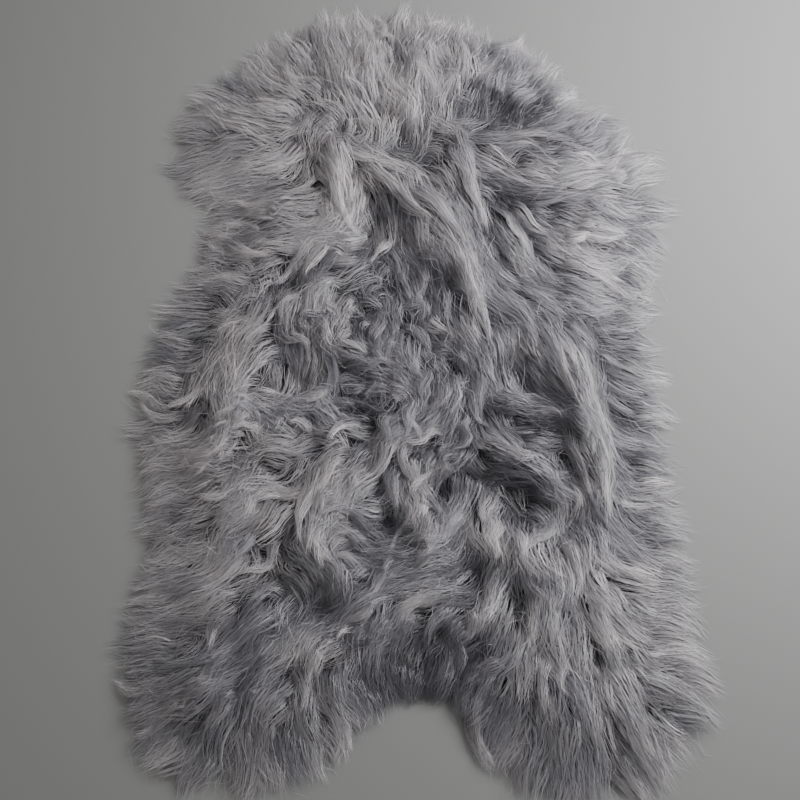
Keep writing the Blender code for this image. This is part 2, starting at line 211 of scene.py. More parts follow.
PATCHES = tuple(
    Patch(*row)
    for row in (
        # broad parts: partly the wool's own tone, partly painted light and shade
        (380, 60, 0.110, 0.50),  # the neck
        (352, 150, 0.045, 0.28),  # beside the neck
        (255, 250, 0.045, 0.20),  # behind the left foreleg
        (250, 490, 0.060, 0.12),  # before the left haunch
        (240, 130, 0.075, 0.44),  # the left foreleg
        (590, 215, 0.080, 0.06),  # the right shoulder
        (215, 420, 0.100, 0.42),  # the left flank
        (390, 340, 0.080, -0.03),  # the middle of the back
        (600, 430, 0.070, -0.08),  # the right flank
        (210, 680, 0.080, 0.16),  # the left hind leg
        (376, 690, 0.028, -0.24),  # its inner side
        (645, 640, 0.050, 0.14),  # the right hind leg
        (450, 690, 0.050, -0.20),  # the root of the tail
        # paler and darker places: the wool's own tone, and painted light and shade on the folds
        (335, 175, 0.034, 0.70), (362, 178, 0.020, 0.45), (425, 225, 0.018, 0.50),
        (455, 262, 0.014, 0.35), (225, 322, 0.024, 0.32), (425, 522, 0.020, 0.28),
        (425, 620, 0.018, 0.28), (522, 622, 0.016, 0.30), (275, 560, 0.020, 0.22),
        (470, 470, 0.020, -0.16), (325, 625, 0.020, -0.16), (465, 160, 0.020, -0.16),
        (300, 75, 0.030, 0.30), (585, 265, 0.030, 0.25), (580, 335, 0.020, -0.25),
        (480, 460, 0.020, 0.10), (230, 260, 0.050, 0.22), (200, 560, 0.050, 0.25),
        (550, 550, 0.050, 0.20), (640, 610, 0.045, 0.28), (500, 620, 0.022, 0.35),
        (425, 675, 0.030, -0.40), (560, 590, 0.030, -0.20), (560, 300, 0.030, -0.15),
        (225, 420, 0.030, -0.28), (340, 610, 0.030, -0.25), (225, 660, 0.030, -0.20),
        (460, 215, 0.030, -0.20), (275, 350, 0.020, -0.25),
        # hollows where the locks part: lowered, and darkened with painted shade
        (478, 104, 0.015, -0.55, 0.012), (505, 107, 0.018, -0.60, 0.012),
        (535, 108, 0.015, -0.50, 0.010), (505, 200, 0.012, -0.65, 0.020),
        (522, 222, 0.008, -0.45, 0.012), (534, 248, 0.008, -0.45, 0.012),
        (542, 276, 0.009, -0.45, 0.012), (392, 144, 0.013, -0.25, 0.010),
        (394, 210, 0.014, -0.15, 0.007), (445, 275, 0.014, -0.28, 0.010),
        (285, 280, 0.012, -0.22, 0.010), (300, 380, 0.016, -0.18, 0.010),
        (265, 395, 0.010, -0.20, 0.010), (360, 380, 0.010, -0.20, 0.010),
        (450, 365, 0.012, -0.22, 0.010), (392, 525, 0.012, -0.25, 0.012),
        (440, 488, 0.010, -0.22, 0.010), (246, 528, 0.012, -0.15, 0.008),
        (315, 600, 0.020, -0.20, 0.010), (530, 480, 0.018, -0.22, 0.010),
        (570, 430, 0.014, -0.20, 0.008), (455, 640, 0.020, -0.18, 0.008),
        (502, 358, 0.012, -0.22, 0.010), (475, 565, 0.020, -0.35, 0.008),
        (515, 420, 0.018, -0.40, 0.012), (566, 400, 0.010, -0.25, 0.008),
        (490, 410, 0.010, -0.30, 0.010), (377, 487, 0.009, -0.25, 0.010),
        (460, 443, 0.009, -0.22, 0.008), (317, 453, 0.008, -0.25, 0.010),
        (338, 126, 0.007, -0.30, 0.010),
    )
)


def smooth_step(share: np.ndarray) -> np.ndarray:
    """0 to 1 with no corner at either end."""
    t = np.clip(share, 0.0, 1.0)
    return t * t * (3.0 - 2.0 * t)


def unit(vectors: np.ndarray) -> np.ndarray:
    """The vectors at length 1, along the last axis."""
    return vectors / np.maximum(np.linalg.norm(vectors, axis=-1, keepdims=True), 1e-9)


def headed(angle: np.ndarray) -> np.ndarray:
    """The ways that angles point, as x and y on a new last axis."""
    return np.stack([np.cos(angle), np.sin(angle)], axis=-1)


def grid_places(low: np.ndarray, high: np.ndarray, spacing: float) -> np.ndarray:
    """The places of a square grid between two corners, (n, 2)."""
    x, y = (np.arange(low[k], high[k], spacing) for k in (0, 1))
    return np.stack(np.meshgrid(x, y, indexing="ij"), axis=-1).reshape(-1, 2)


def clouds(places: np.ndarray, beats: float, level: float) -> np.ndarray:
    """Cloudy values from about -1 to 1, with so many beats a metre. Each level has its own."""
    return np.array([noise.noise(Vector((x * beats, y * beats, level))) for x, y in places])


def smoothed(values: np.ndarray, passes: int) -> np.ndarray:
    """Values on a grid, averaged with their neighbours in so many rounds.

    Args:
        values: The grid.
        passes: How many rounds.

    Returns:
        The smoother grid.
    """
    for _ in range(passes):
        for axis in (0, 1):
            values = sum(np.roll(values, shift, axis=axis) for shift in (-1, 0, 1)) / 3.0
    return values


def rolled(points: np.ndarray, tilt: np.ndarray) -> np.ndarray:
    """The way in which ribbons are wide, where they are tilted round their centre lines.

    Args:
        points: The centre lines, (ribbons, stations, 3).
        tilt: How far they are tilted, in radians, for each ribbon or station.

    Returns:
        Unit vectors, (ribbons, stations, 3).
    """
    ahead = unit(np.gradient(points, axis=1))
    side = unit(np.cross(ahead, UP))
    return side * np.cos(tilt)[..., None] - np.cross(side, ahead) * np.sin(tilt)[..., None]


@dataclass(frozen=True)
class PhotoView:
    """The photograph's camera: a pinhole that looks down on the rug from its hind end."""

    aim: tuple[float, float] = (-0.022, -0.031)
    elevation_deg: float = 68.0
    distance: float = 2.30
    focal_px: float = 1797.0
    sensor_mm: float = 36.0
    wool_top: float = 0.040  # height at which a pixel of the wool is placed

    def place(self) -> Vector:
        """Where the camera stands.

        Returns:
            The place, in metres.
        """
        tilt = math.radians(self.elevation_deg)
        back = self.distance * math.cos(tilt)
        return Vector((self.aim[0], self.aim[1] - back, self.distance * math.sin(tilt)))

    def on_wool(self, px: float, py: float, height: float | None = None) -> tuple[float, float]:
        """The place on the wool that a pixel of the photograph shows.

        Args:
            px: The pixel's column in the 800 x 800 frame.
            py: Its row, from the top.
            height: How high the wool is there, where that is known.

        Returns:
            x and y in metres.
        """
        tilt = math.radians(self.elevation_deg)
        across = (px - PHOTO_PX / 2) / self.focal_px
        down = (py - PHOTO_PX / 2) / self.focal_px
        north = math.cos(tilt) - down * math.sin(tilt)
        ray = Vector((across, north, -math.sin(tilt) - down * math.cos(tilt)))
        start = self.place()
        top = self.wool_top if height is None else height
        hit = start + ray * ((top - start.z) / ray.z)
        return hit.x, hit.y

    def make(self) -> None:
        """Adds the camera and makes it the scene's own."""
        data = bpy.data.cameras.new("photo_view")
        data.sensor_width = self.sensor_mm
        data.lens = self.focal_px / PHOTO_PX * data.sensor_width
        camera = bpy.data.objects.new("photo_view", data)
        camera.location = self.place()
        camera.rotation_euler = (math.radians(90.0 - self.elevation_deg), 0.0, 0.0)
        bpy.context.scene.collection.objects.link(camera)
        bpy.context.scene.camera = camera


@dataclass
class Outline:
    """A closed loop of points on the floor, clockwise seen from above."""

    points: np.ndarray

    def nearest(self, places: np.ndarray) -> tuple[np.ndarray, np.ndarray]:
        """How far places are from the loop, and where on the loop that is.

        Args:
            places: Points, (n, 2).

        Returns:
            The distances, negative inside the loop, and the nearest points, (n, 2).
        """
        start = self.points[None]
        edge = np.roll(self.points, -1, axis=0)[None] - start
        offset = places[:, None] - start
        share = (offset * edge).sum(axis=2) / np.maximum((edge * edge).sum(axis=2), 1e-12)
        spots = start + np.clip(share, 0.0, 1.0)[..., None] * edge
        apart = np.linalg.norm(places[:, None] - spots, axis=2)
        best = apart.argmin(axis=1)
        each = np.arange(len(places))
        sign = np.where(self.holds(places), -1.0, 1.0)
        return sign * apart[each, best], spots[each, best]

    def holds(self, places: np.ndarray) -> np.ndarray:
        """For each place, whether the loop goes round it.

        Args:
            places: Points, (n, 2).

        Returns:
            True or false for each.
        """
        x, y = places[:, 0][:, None], places[:, 1][:, None]
        x0, y0 = self.points[:, 0], self.points[:, 1]
        x1, y1 = np.roll(x0, -1), np.roll(y0, -1)
        spans = (y0 > y) != (y1 > y)
        rise = np.where(y1 == y0, 1.0, y1 - y0)
        return (spans & (x < x0 + (y - y0) / rise * (x1 - x0))).sum(axis=1) % 2 == 1

    def outward(self) -> np.ndarray:
        """The unit vectors that point out of the loop at its points."""
        ahead = unit(np.roll(self.points, -1, axis=0) - np.roll(self.points, 1, axis=0))
        return np.stack([-ahead[:, 1], ahead[:, 0]], axis=1)

    def turned(self) -> float:
        """Twice the area inside the loop, and negative where the loop is clockwise."""
        x, y = self.points[:, 0], self.points[:, 1]
        return np.sum(x * np.roll(y, -1) - np.roll(x, -1) * y)


@dataclass
class PackedPelt:
    """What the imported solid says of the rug: the hide's edge and the wool's surface."""

    skin: float = 0.002  # thickness of the hide, which stands as a step under the rim
    rim_reach: float = 0.020  # the solid's slab ends this far past the hide
    slack: float = 2e-5  # the step's points are this near to the thickness
    vertices: np.ndarray = field(init=False)
    edge: Outline = field(init=False)
    tree: BVHTree = field(init=False)

    def __post_init__(self) -> None:
        """Reads the node's mesh."""
        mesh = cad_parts[NODE].data
        flat = np.empty(3 * len(mesh.vertices))
        mesh.vertices.foreach_get("co", flat)
        self.vertices = flat.reshape(-1, 3)
        polygons = [tuple(polygon.vertices) for polygon in mesh.polygons]
        self.tree = BVHTree.FromPolygons(self.vertices.tolist(), polygons)
        self.edge = self._hide_edge(polygons)

    def _hide_edge(self, polygons: list[tuple[int, ...]]) -> Outline:
        """Follows the step at the hide's edge round the underside.

        Args:
            polygons: The mesh's faces.

        Returns:
            The loop, clockwise.
        """
        on_step = np.abs(self.vertices[:, 2] - self.skin) < self.slack
        places: dict[tuple[float, float], tuple[float, float]] = {}
        links: dict[tuple[float, float], set[tuple[float, float]]] = {}
        for polygon in polygons:
            for a, b in zip(polygon, polygon[1:] + polygon[:1]):
                if on_step[a] and on_step[b]:
                    keys = [tuple(np.round(self.vertices[i, :2], 5)) for i in (a, b)]
                    for i, key in zip((a, b), keys):
                        places[key] = tuple(self.vertices[i, :2])
                    links.setdefault(keys[0], set()).add(keys[1])
                    links.setdefault(keys[1], set()).add(keys[0])
        start = max(links, key=lambda key: key[1])
        loop = [start]
        before, here = None, start
        while True:
            ahead = [key for key in links[here] if key != before and key not in loop[1:]]
            ahead = [key for key in ahead if key != start or len(loop) > 2]
            if not ahead or ahead[0] == start:
                break
            before, here = here, ahead[0]
            loop.append(here)
        loop = Outline(np.array([places[key] for key in loop]))
        return loop if loop.turned() < 0.0 else Outline(loop.points[::-1])

    def height(self, x: float, y: float, seen_from: float) -> float:
        """Height of the side that is seen from ABOVE or BELOW, or 0 beside the solid."""
        hit = self.tree.ray_cast(Vector((x, y, seen_from)), Vector((0.0, 0.0, -seen_from)))
        return hit[0].z if hit[0] is not None else 0.0


@dataclass
class WoolMap:
    """How deep the wool is and which way it lies, on a grid over the whole rug."""

    pelt: PackedPelt
    view: PhotoView
    spacing: float = 0.006
    margin: float = 0.100  # how far the grid runs past the hide
    near: float = 0.021  # a reading of the comb is felt over about this distance
    far: float = 0.075  # and faintly over this one, where no reading is near
    far_share: float = 0.02
    outward_zone: float = 0.035  # the wool turns outwards this near the hide's edge
    outward_share: float = 0.50
    tip_height: float = 0.001  # the tips of the solid's locks are lower than this
    reach_window: float = 0.028  # the longest of them so near sets how far the wool reaches
    rim_height: float = 0.016  # of the wool where the solid's slab ends
    rim_power: float = 0.75  # how it slopes down from there to the tips
    rim_lap: float = 0.003  # the slope begins this far inside the slab's end
    hollow_floor: float = 0.012  # hollows go down to this height at most
    relief_passes: int = 16  # rounds of smoothing that the relief is measured against
    relief_painted_shade: float = 14.0  # painted light and shade: this much paler a metre above that, darker below
    relief_most: float = 0.012  # no more of it counts
    relief_zone: float = 0.030  # the painted shade of the relief shows fully this far inside the hide's edge
    hide_clearance: float = 0.0042  # the hide's thickness, and how far its folds stray
    rim_tone: float = 0.10  # how much paler the wool is past the hide's edge
    rim_tone_start: float = -0.010  # that begins this far past the edge
    rim_tone_zone: float = 0.050  # and is full this much farther out
    wander_deg: float = 16.0  # the comb's own unevenness
    wander_length: float = 0.045
    clearance_zone: float = 0.006  # strands need not clear the hide this far past its edge
    low: np.ndarray = field(init=False)
    shape: tuple[int, int] = field(init=False)
    layers: dict[str, np.ndarray] = field(init=False, default_factory=dict)

    def __post_init__(self) -> None:
        """Fills every layer."""
        edge = self.pelt.edge.points
        self.low = edge.min(axis=0) - self.margin
        span = edge.max(axis=0) + self.margin - self.low
        self.shape = (int(span[0] / self.spacing) + 2, int(span[1] / self.spacing) + 2)
        x, y = (self.low[k] + np.arange(self.shape[k]) * self.spacing for k in (0, 1))
        places = np.stack(np.meshgrid(x, y, indexing="ij"), axis=-1).reshape(-1, 2)
        past, spots = self.pelt.edge.nearest(places)
        away = unit(places - spots) * np.where(past < 0.0, -1.0, 1.0)[:, None]
        reach = self._reach(spots)
        self.keep(past=past, reach=reach, skin=[self.pelt.height(*p, BELOW) for p in places])
        self.keep(depth=self._depth(places, past, reach))
        self._hollows_tone_and_painted_light(places)
        east, north = np.gradient(self.layers["depth"], self.spacing)
        self.keep(slope_x=east, slope_y=north)
        self._comb(places, past, away)

    def keep(self, **values: np.ndarray) -> None:
        """Stores values, one for each grid point, as layers."""
        for name, value in values.items():
            self.layers[name] = np.asarray(value, dtype=float).reshape(self.shape)

    def _reach(self, spots: np.ndarray) -> np.ndarray:
        """How far past the hide the solid's locks reach, near each spot on its edge.

        Args:
            spots: Points on the edge, (n, 2).

        Returns:
            The reach at each spot.
        """
        tips = self.pelt.vertices[self.pelt.vertices[:, 2] < self.tip_height][:, :2]
        past, roots = self.pelt.edge.nearest(tips)
        edge = self.pelt.edge.points
        close = [np.linalg.norm(roots - point, axis=1) < self.reach_window for point in edge]
        found = np.array([past[near].max() for near in close])
        ring = np.stack([np.roll(found, shift) for shift in (-1, 0, 1)])
        apart = np.linalg.norm(spots[:, None] - edge[None], axis=2)
        return ring.mean(axis=0)[apart.argmin(axis=1)]

    def _depth(self, places: np.ndarray, past: np.ndarray, reach: np.ndarray) -> np.ndarray:
        """Height of the wool's surface: the solid's, then a slope down to the tips.

        Args:
            places: The grid's places, (n, 2).
            past: How far each is past the hide's edge.
            reach: How far past it the wool reaches there.

        Returns:
            The height at each place.
        """
        found = np.array([self.pelt.height(*place, ABOVE) for place in places])
        rim = self.pelt.rim_reach
        share = np.clip((past - rim) / np.maximum(reach - rim, 0.01), 0.0, 1.0)
        slope = self.rim_height * (1.0 - share) ** self.rim_power
        return np.where(past > rim - self.rim_lap, slope, found)

    def _hollows_tone_and_painted_light(self, places: np.ndarray) -> None:
        """Lowers the hollows, and adds how much paler or darker the wool is: partly its own tone,
        partly painted light and shade.

        Args:
            places: The grid's places, (n, 2).
        """
        sunk, tone = np.zeros(len(places)), np.zeros(len(places))
        for patch in PATCHES:
            apart = places - np.array(self.seen(patch.px, patch.py))
            share = np.exp(-(apart**2).sum(axis=1) / (2.0 * patch.reach**2))
            sunk, tone = sunk + patch.hollow * share, tone + patch.tone * share
        depth, past = self.layers["depth"].ravel(), self.layers["past"].ravel()
        self.keep(depth=np.maximum(depth - sunk, np.minimum(depth, self.hollow_floor)))
        # painted light and shade: ridges of the wool are painted paler and its hollows darker
        relief = self.layers["depth"] - smoothed(self.layers["depth"], self.relief_passes)
        relief = np.clip(relief, -self.relief_most, self.relief_most).ravel()
        rim = smooth_step((past - self.rim_tone_start) / self.rim_tone_zone)
        inside = smooth_step(-past / self.relief_zone)
        self.keep(tone=tone + self.rim_tone * rim + self.relief_painted_shade * relief * inside)

    def _comb(self, places: np.ndarray, past: np.ndarray, away: np.ndarray) -> None:
        """Spreads the readings of the comb smoothly over the grid.

        Args:
            places: The grid's places, (n, 2).
            past: How far each is past the hide's edge.
            away: The way out of the rug at each, as unit vectors.
        """
        spots = np.array([self.view.on_wool(row.px, row.py) for row in COMBED])
        ways = headed(np.radians([row.heading for row in COMBED]))
        curls = np.array([row.curl for row in COMBED])
        gap = ((places[:, None] - spots[None]) ** 2).sum(axis=2)
        weight = np.exp(-gap / (2.0 * self.near**2))
        weight += self.far_share * np.exp(-gap / (2.0 * self.far**2))
        weight /= weight.sum(axis=1, keepdims=True)
        way = unit(weight @ ways)
        near_rim = self.outward_share * smooth_step(past / self.outward_zone + 1.0)
        way = unit(way * (1.0 - near_rim)[:, None] + away * near_rim[:, None])
        wander = clouds(places, 1.0 / self.wander_length, level=3.7)
        angle = np.arctan2(way[:, 1], way[:, 0]) + math.radians(self.wander_deg) * 2.0 * wander
        self.keep(way_x=np.cos(angle), way_y=np.sin(angle), curl=weight @ curls)

    def seen(self, px: float, py: float) -> tuple[float, float]:
        """The place that a pixel shows, at the wool's own height there.

        Args:
            px: The pixel's column.
            py: Its row, from the top.

        Returns:
            x and y in metres.
        """
        place = self.view.on_wool(px, py)
        for _ in range(4):
            place = self.view.on_wool(px, py, float(self.at("depth", np.array(place))))
        return place

    def at(self, name: str, places: np.ndarray) -> np.ndarray:
        """A layer's values at places, read between its grid points.

        Args:
            name: The layer.
            places: Points, (..., 2) or (..., 3).

        Returns:
            A value for each place.
        """
        cell = (places[..., :2] - self.low) / self.spacing
        last = np.array(self.shape) - 1.001
        cell = np.clip(cell, 0.0, last)
        i, j = cell[..., 0].astype(int), cell[..., 1].astype(int)
        u, v = cell[..., 0] - i, cell[..., 1] - j
        layer = self.layers[name]
        low = layer[i, j] * (1.0 - u) + layer[i + 1, j] * u
        high = layer[i, j + 1] * (1.0 - u) + layer[i + 1, j + 1] * u
        return low * (1.0 - v) + high * v

    def hide_top(self, places: np.ndarray) -> np.ndarray:
        """Height that strands clear the hide at, and 0 beside it."""
        over = smooth_step(1.0 - self.at("past", places) / self.clearance_zone)
        return self.at("skin", places) + self.hide_clearance * over

    def heading(self, places: np.ndarray) -> np.ndarray:
        """The way the tips point at places, as an angle in radians."""
        return np.arctan2(self.at("way_y", places), self.at("way_x", places))


@dataclass(frozen=True)
class LockKind:
    """What one kind of lock is like. Angles are in degrees."""

    length: float
    length_spread: float  # share by which lengths differ, either way
    width: float
    tip_share: float  # of the width that is left at the tip
    swing: float  # its own S-bends
    swing_length: float
    stray: float  # how far it turns off the comb
    start: float  # share of the wool's depth at which it begins
    layer: tuple[float, float]  # how high up in the wool its outer part lies
    heave: float = 0.003  # how far it bows up and down on its way
    lift: float = 0.0
    tone: float = 0.0
    tone_spread: float = 0.07
    curl_tone: float = 0.0  # what is added to the tone where the comb's curl is full


@dataclass
class Locks:
    """Guides of many locks, each a path from its root in the hide to its tip.

    path is (locks, steps, 3). The rest holds one value a lock.
    """

    path: np.ndarray
    width: np.ndarray
    tip_share: np.ndarray
    curl: np.ndarray
    shade: np.ndarray

    def columns(self) -> list[np.ndarray]:
        """Its arrays, in the order of the fields."""
        return [getattr(self, column.name) for column in fields(self)]

    def __add__(self, other: "Locks") -> "Locks":
        """These locks and others."""
        return Locks(*map(np.concatenate, zip(self.columns(), other.columns())))

    def part(self, chosen: np.ndarray) -> "Locks":
        """The chosen locks alone."""
        return Locks(*(column[chosen] for column in self.columns()))


@dataclass
class LockPlanner:
    """Plants locks over the hide and combs them."""

    wool: WoolMap
    seed: int = 11
    steps: int = 25
    rise_share: float = 0.34  # of its length in which a lock climbs to the surface
    tone_length: float = 0.080  # patches of paler and darker wool are about this long
    cloud_tone: float = 0.20  # and this much paler or darker at most
    tone_curl: tuple[float, float] = (0.45, 1.2)  # share of it in straight wool, and at most
    floor_share: float = 0.88  # of its length that a lock covers over the floor
    rim_share: float = 0.05  # and how much less of it at the rim
    rim_zone: float = 0.040  # which is this wide, inside the hide's edge
    tip_limits: tuple[float, float] = (0.80, 1.22)  # shares of the rim's reach that tips keep to
    least_run: float = 0.25  # no round cuts a lock to less of its reach than this
    calm: float = 0.4  # share of its stray that a lock has in straight wool
    swing_least: float = 0.15  # share of its swing that a lock has in straight wool
    swing_curl: float = 1.4  # and how much more in a full curl
    own_share: float = 0.35  # of its way on which a crossing lock keeps its heading
    turn_share: float = 0.5  # and on which the comb then takes it
    root_sink: float = 0.14  # share of its height by which a lock lies lower at its root
    bow_beats: tuple[float, float] = (0.8, 1.5)  # bows up and down on a lock's way
    bow_zone: float = 0.030  # bows are full where the wool is this deep
    seat_depth: float = 0.003  # a lock's middle lies this far under the wool's surface
    least_height: float = 0.002
    jitter: float = 0.42  # how far a root strays from its row, in pitches
    curl_shortening: float = 0.25  # share by which a full curl shortens a lock's reach
    least_odds: float = 0.06  # chance of a curl where the comb is straight
    curl_from: float = 0.30  # curls grow likelier from this curl of the comb
    curl_over: float = 0.45  # until it is this much stronger
    tress_wave: float = 0.002
    tress_wave_length: float = 0.075
    search_pitch: float = 0.006  # thin places are looked for this closely
    thin_cover: float = 0.75  # and are those whose cover is below this
    cross_deg: float = 40.0  # how far the locks that cross them turn off the comb
    cross_back: float = 0.42  # share of their length that lies before the place
    rng: np.random.Generator = field(init=False)

    def __post_init__(self) -> None:
        """Starts the source of chance."""
        self.rng = np.random.default_rng(self.seed)

    def roots(self, pitch: float, inset: float = 0.004) -> np.ndarray:
        """Uneven places for roots in rows, inside the hide's edge.

        Args:
            pitch: How far apart neighbours are.
            inset: How far inside the edge they stop.

        Returns:
            The places, (n, 2).
        """
        edge = self.wool.pelt.edge
        low, high = edge.points.min(axis=0), edge.points.max(axis=0)
        row_step = pitch * math.sqrt(0.75)
        rows = []
        for row in range(int((high[1] - low[1]) / row_step) + 1):
            x = np.arange(low[0] + pitch / 2 * (row % 2), high[0], pitch)
            rows.append(np.stack([x, np.full(len(x), low[1] + row * row_step)], axis=1))
        found = np.vstack(rows)
        found = found + self.rng.uniform(-self.jitter, self.jitter, found.shape) * pitch
        return found[self.wool.at("past", found) < -inset]

    def curly(self, places: np.ndarray) -> np.ndarray:
        """The places that curls grow from: most where the comb's curl is strong.

        Args:
            places: Where they may grow, (n, 2).

        Returns:
            The places chosen by chance.
        """
        likely = smooth_step((self.wool.at("curl", places) - self.curl_from) / self.curl_over)
        odds = self.least_odds + (1.0 - self.least_odds) * likely
        return places[self.rng.uniform(0.0, 1.0, len(places)) < odds]

    def grow(self, kind: LockKind, roots: np.ndarray, own: np.ndarray | None = None) -> Locks:
        """Lays locks from their roots along the comb, within the wool's reach.

        Args:
            kind: What the locks are like.
            roots: Where they grow, (n, 2).
            own: Headings that they keep at first, in radians, before the comb takes them.

        Returns:
            The locks.
        """
        rng, count = self.rng, len(roots)
        curl = self.wool.at("curl", roots)
        past = self.wool.at("past", roots)
        length = kind.length * (1.0 + kind.length_spread * rng.uniform(-1.0, 1.0, count))
        bias = np.radians(rng.normal(0.0, kind.stray, count)) * (self.calm + curl)
        rim = smooth_step(past / self.rim_zone + 1.0)
        run = length * (self.floor_share - self.rim_share * rim)
        run = run * (1.0 - self.curl_shortening * curl)
        limit = self.wool.at("reach", roots) * rng.uniform(*self.tip_limits, count)
        swing = math.radians(kind.swing) * (self.swing_least + self.swing_curl * curl)
        phase = rng.uniform(0.0, math.tau, count)
        for again in range(3):
            flat = self._trace(roots, run, bias, swing, kind.swing_length, phase, own)
            beyond = self.wool.at("past", flat) > limit[:, None]
            first = np.where(beyond.any(axis=1), beyond.argmax(axis=1), self.steps - 1)
            if again < 2:
                run = run * np.maximum(first / (self.steps - 1), self.least_run)
        cloud = clouds(flat[:, self.steps // 2], 1.0 / self.tone_length, level=9.1)
        patchy = self.cloud_tone * cloud + rng.normal(0.0, kind.tone_spread, count)
        patchy = patchy * np.minimum(self.tone_curl[0] + curl, self.tone_curl[1])
        return Locks(
            path=self._lift(flat, kind),
            width=kind.width * rng.uniform(0.75, 1.25, count),
            tip_share=np.full(count, kind.tip_share),
            curl=curl,
            shade=kind.tone + patchy + kind.curl_tone * smooth_step((curl - 0.35) / 0.5),
        )

    def _trace(
        self,
        roots: np.ndarray,
        run: np.ndarray,
        bias: np.ndarray,
        swing: np.ndarray,
        swing_length: float,
        phase: np.ndarray,
        own: np.ndarray | None,
    ) -> np.ndarray:
        """Follows the comb over the floor plan from each root.

        Args:
            roots: Where the locks start, (n, 2).
            run: How far each lock reaches over the floor.
            bias: How far each turns off the comb, in radians.
            swing: How far each swings to its sides, in radians.
            swing_length: How long a swing there and back is.
            phase: Where in its swing each starts.
            own: Headings that they keep at first, or None.

        Returns:
            Points, (n, steps, 2).
        """
        step = run / (self.steps - 1)
        here = roots
        found = [here]
        for k in range(1, self.steps):
            sway = swing * np.sin(math.tau * step * k / swing_length + phase)
            angle = self.wool.heading(here) + bias
            if own is not None:
                taken = smooth_step((k / self.steps - self.own_share) / self.turn_share)
                ways = (1.0 - taken) * headed(own) + taken * headed(angle)
                angle = np.arctan2(ways[:, 1], ways[:, 0])
            here = here + step[:, None] * headed(angle + sway)
            found.append(here)
        return np.stack(found, axis=1)

    def _lift(self, flat: np.ndarray, kind: LockKind) -> np.ndarray:
        """Raises the paths: up out of the hide, then along the wool's surface.

        Args:
            flat: The paths over the floor plan, (n, steps, 2).
            kind: What the locks are like.

        Returns:
            The paths, (n, steps, 3).
        """
        count = len(flat)
        s = np.linspace(0.0, 1.0, self.steps)[None]
        skin = self.wool.at("skin", flat[:, :1]) + self.wool.pelt.skin
        surface = self.wool.at("depth", flat)
        layer = self.rng.uniform(*kind.layer, count)[:, None]
        climb = np.clip(2.0 * smooth_step(0.5 * s / self.rise_share), 0.0, 1.0)
        climb = kind.start + (1.0 - kind.start) * climb
        climb = climb * (1.0 - self.root_sink + self.root_sink * s)
        phase = self.rng.uniform(0.0, math.tau, count)[:, None]
        beats = self.rng.uniform(*self.bow_beats, count)[:, None]
        bow = kind.heave * np.sin(math.tau * s * beats + phase)
        bow = bow * (0.35 + 1.1 * self.wool.at("curl", flat))
        bow = (kind.lift + bow) * smooth_step(surface / self.bow_zone)
        target = np.maximum(surface * layer - self.seat_depth + bow, self.least_height)
        height = np.clip(skin + (target - skin) * climb, 0.0, None)
        return np.concatenate([flat, height[..., None]], axis=2)

    def follow(self, tress: Tress, kind: LockKind) -> Locks:
        """Lays locks along a tress of the photograph, one beyond another.

        Args:
            tress: The tress.
            kind: What its locks are like.

        Returns:
            The locks.
        """
        rng, count = self.rng, tress.locks
        line = np.array([self.wool.seen(*point) for point in tress.points])
        for _ in range(3):
            near, far = (a * line[:-1] + (1.0 - a) * line[1:] for a in (0.75, 0.25))
            line = np.vstack([line[:1], np.stack([near, far], 1).reshape(-1, 2), line[-1:]])
        gone = np.append(0.0, np.cumsum(np.linalg.norm(np.diff(line, axis=0), axis=1)))
        length = min(kind.length, gone[-1]) * rng.uniform(0.9, 1.1, count)
        length = np.minimum(length, gone[-1])
        first = (gone[-1] - length) * np.linspace(0.0, 1.0, count) if count > 1 else np.zeros(1)
        at = first[:, None] + length[:, None] * np.linspace(0.0, 1.0, self.steps)[None]
        flat = np.stack([np.interp(at, gone, line[:, k]) for k in (0, 1)], axis=-1)
        ahead = unit(np.gradient(flat, axis=1))
        aside = np.stack([ahead[..., 1], -ahead[..., 0]], axis=-1)
        offset = tress.width * rng.uniform(-0.5, 0.5, count)[:, None, None]
        phase = rng.uniform(0.0, ANY_PHASE, count)[:, None]
        wave = self.tress_wave * np.sin(math.tau * at / self.tress_wave_length + phase)
        flat = flat + aside * (offset + wave[..., None])
        return Locks(
            path=self._lift(flat, kind),
            width=kind.width * rng.uniform(0.85, 1.25, count),
            tip_share=np.full(count, kind.tip_share),
            curl=np.full(count, 0.3),
            shade=tress.tone + rng.normal(0.0, kind.tone_spread, count),
        )

    def measure_cover(self, locks: Locks) -> None:
        """Adds a layer to the map: how thickly locks lie, about 1 where it is usual.

        Args:
            locks: The locks that lie over the rug.
        """
        shown = locks.path[:, int(self.steps * self.rise_share) :, :2]
        weight = np.linalg.norm(np.diff(shown, axis=1), axis=2) * locks.width[:, None]
        index = np.round((shown[:, :-1] - self.wool.low) / self.wool.spacing).astype(int)
        found = np.zeros(self.wool.shape)
        np.add.at(found, (index[..., 0], index[..., 1]), weight)
        found = smoothed(found, 2)
        inside = self.wool.layers["past"] < -0.02
        self.wool.keep(cover=found / np.median(found[inside]))

    def cross_over(self, kind: LockKind, most: int, gap: float) -> Locks:
        """Lays locks over the places that others leave bare, such as partings.

        Args:
            kind: What the locks are like.
            most: At most how many.
            gap: Least distance between two of the places.

        Returns:
            The locks.
        """
        places = self.roots(self.search_pitch, inset=0.010)
        cover = self.wool.at("cover", places)
        chosen: list[np.ndarray] = []
        for k in np.argsort(cover):
            if len(chosen) == most or cover[k] > self.thin_cover:
                break
            if all(np.linalg.norm(places[k] - other) > gap for other in chosen):
                chosen.append(places[k])
        places = np.array(chosen)
        turn = self.rng.normal(0.0, self.cross_deg, len(places))
        own = self.wool.heading(places) + np.radians(turn)
        roots = places - self.cross_back * kind.length * headed(own)
        held = self.wool.at("past", roots) < -0.004
        return self.grow(kind, roots[held], own[held])


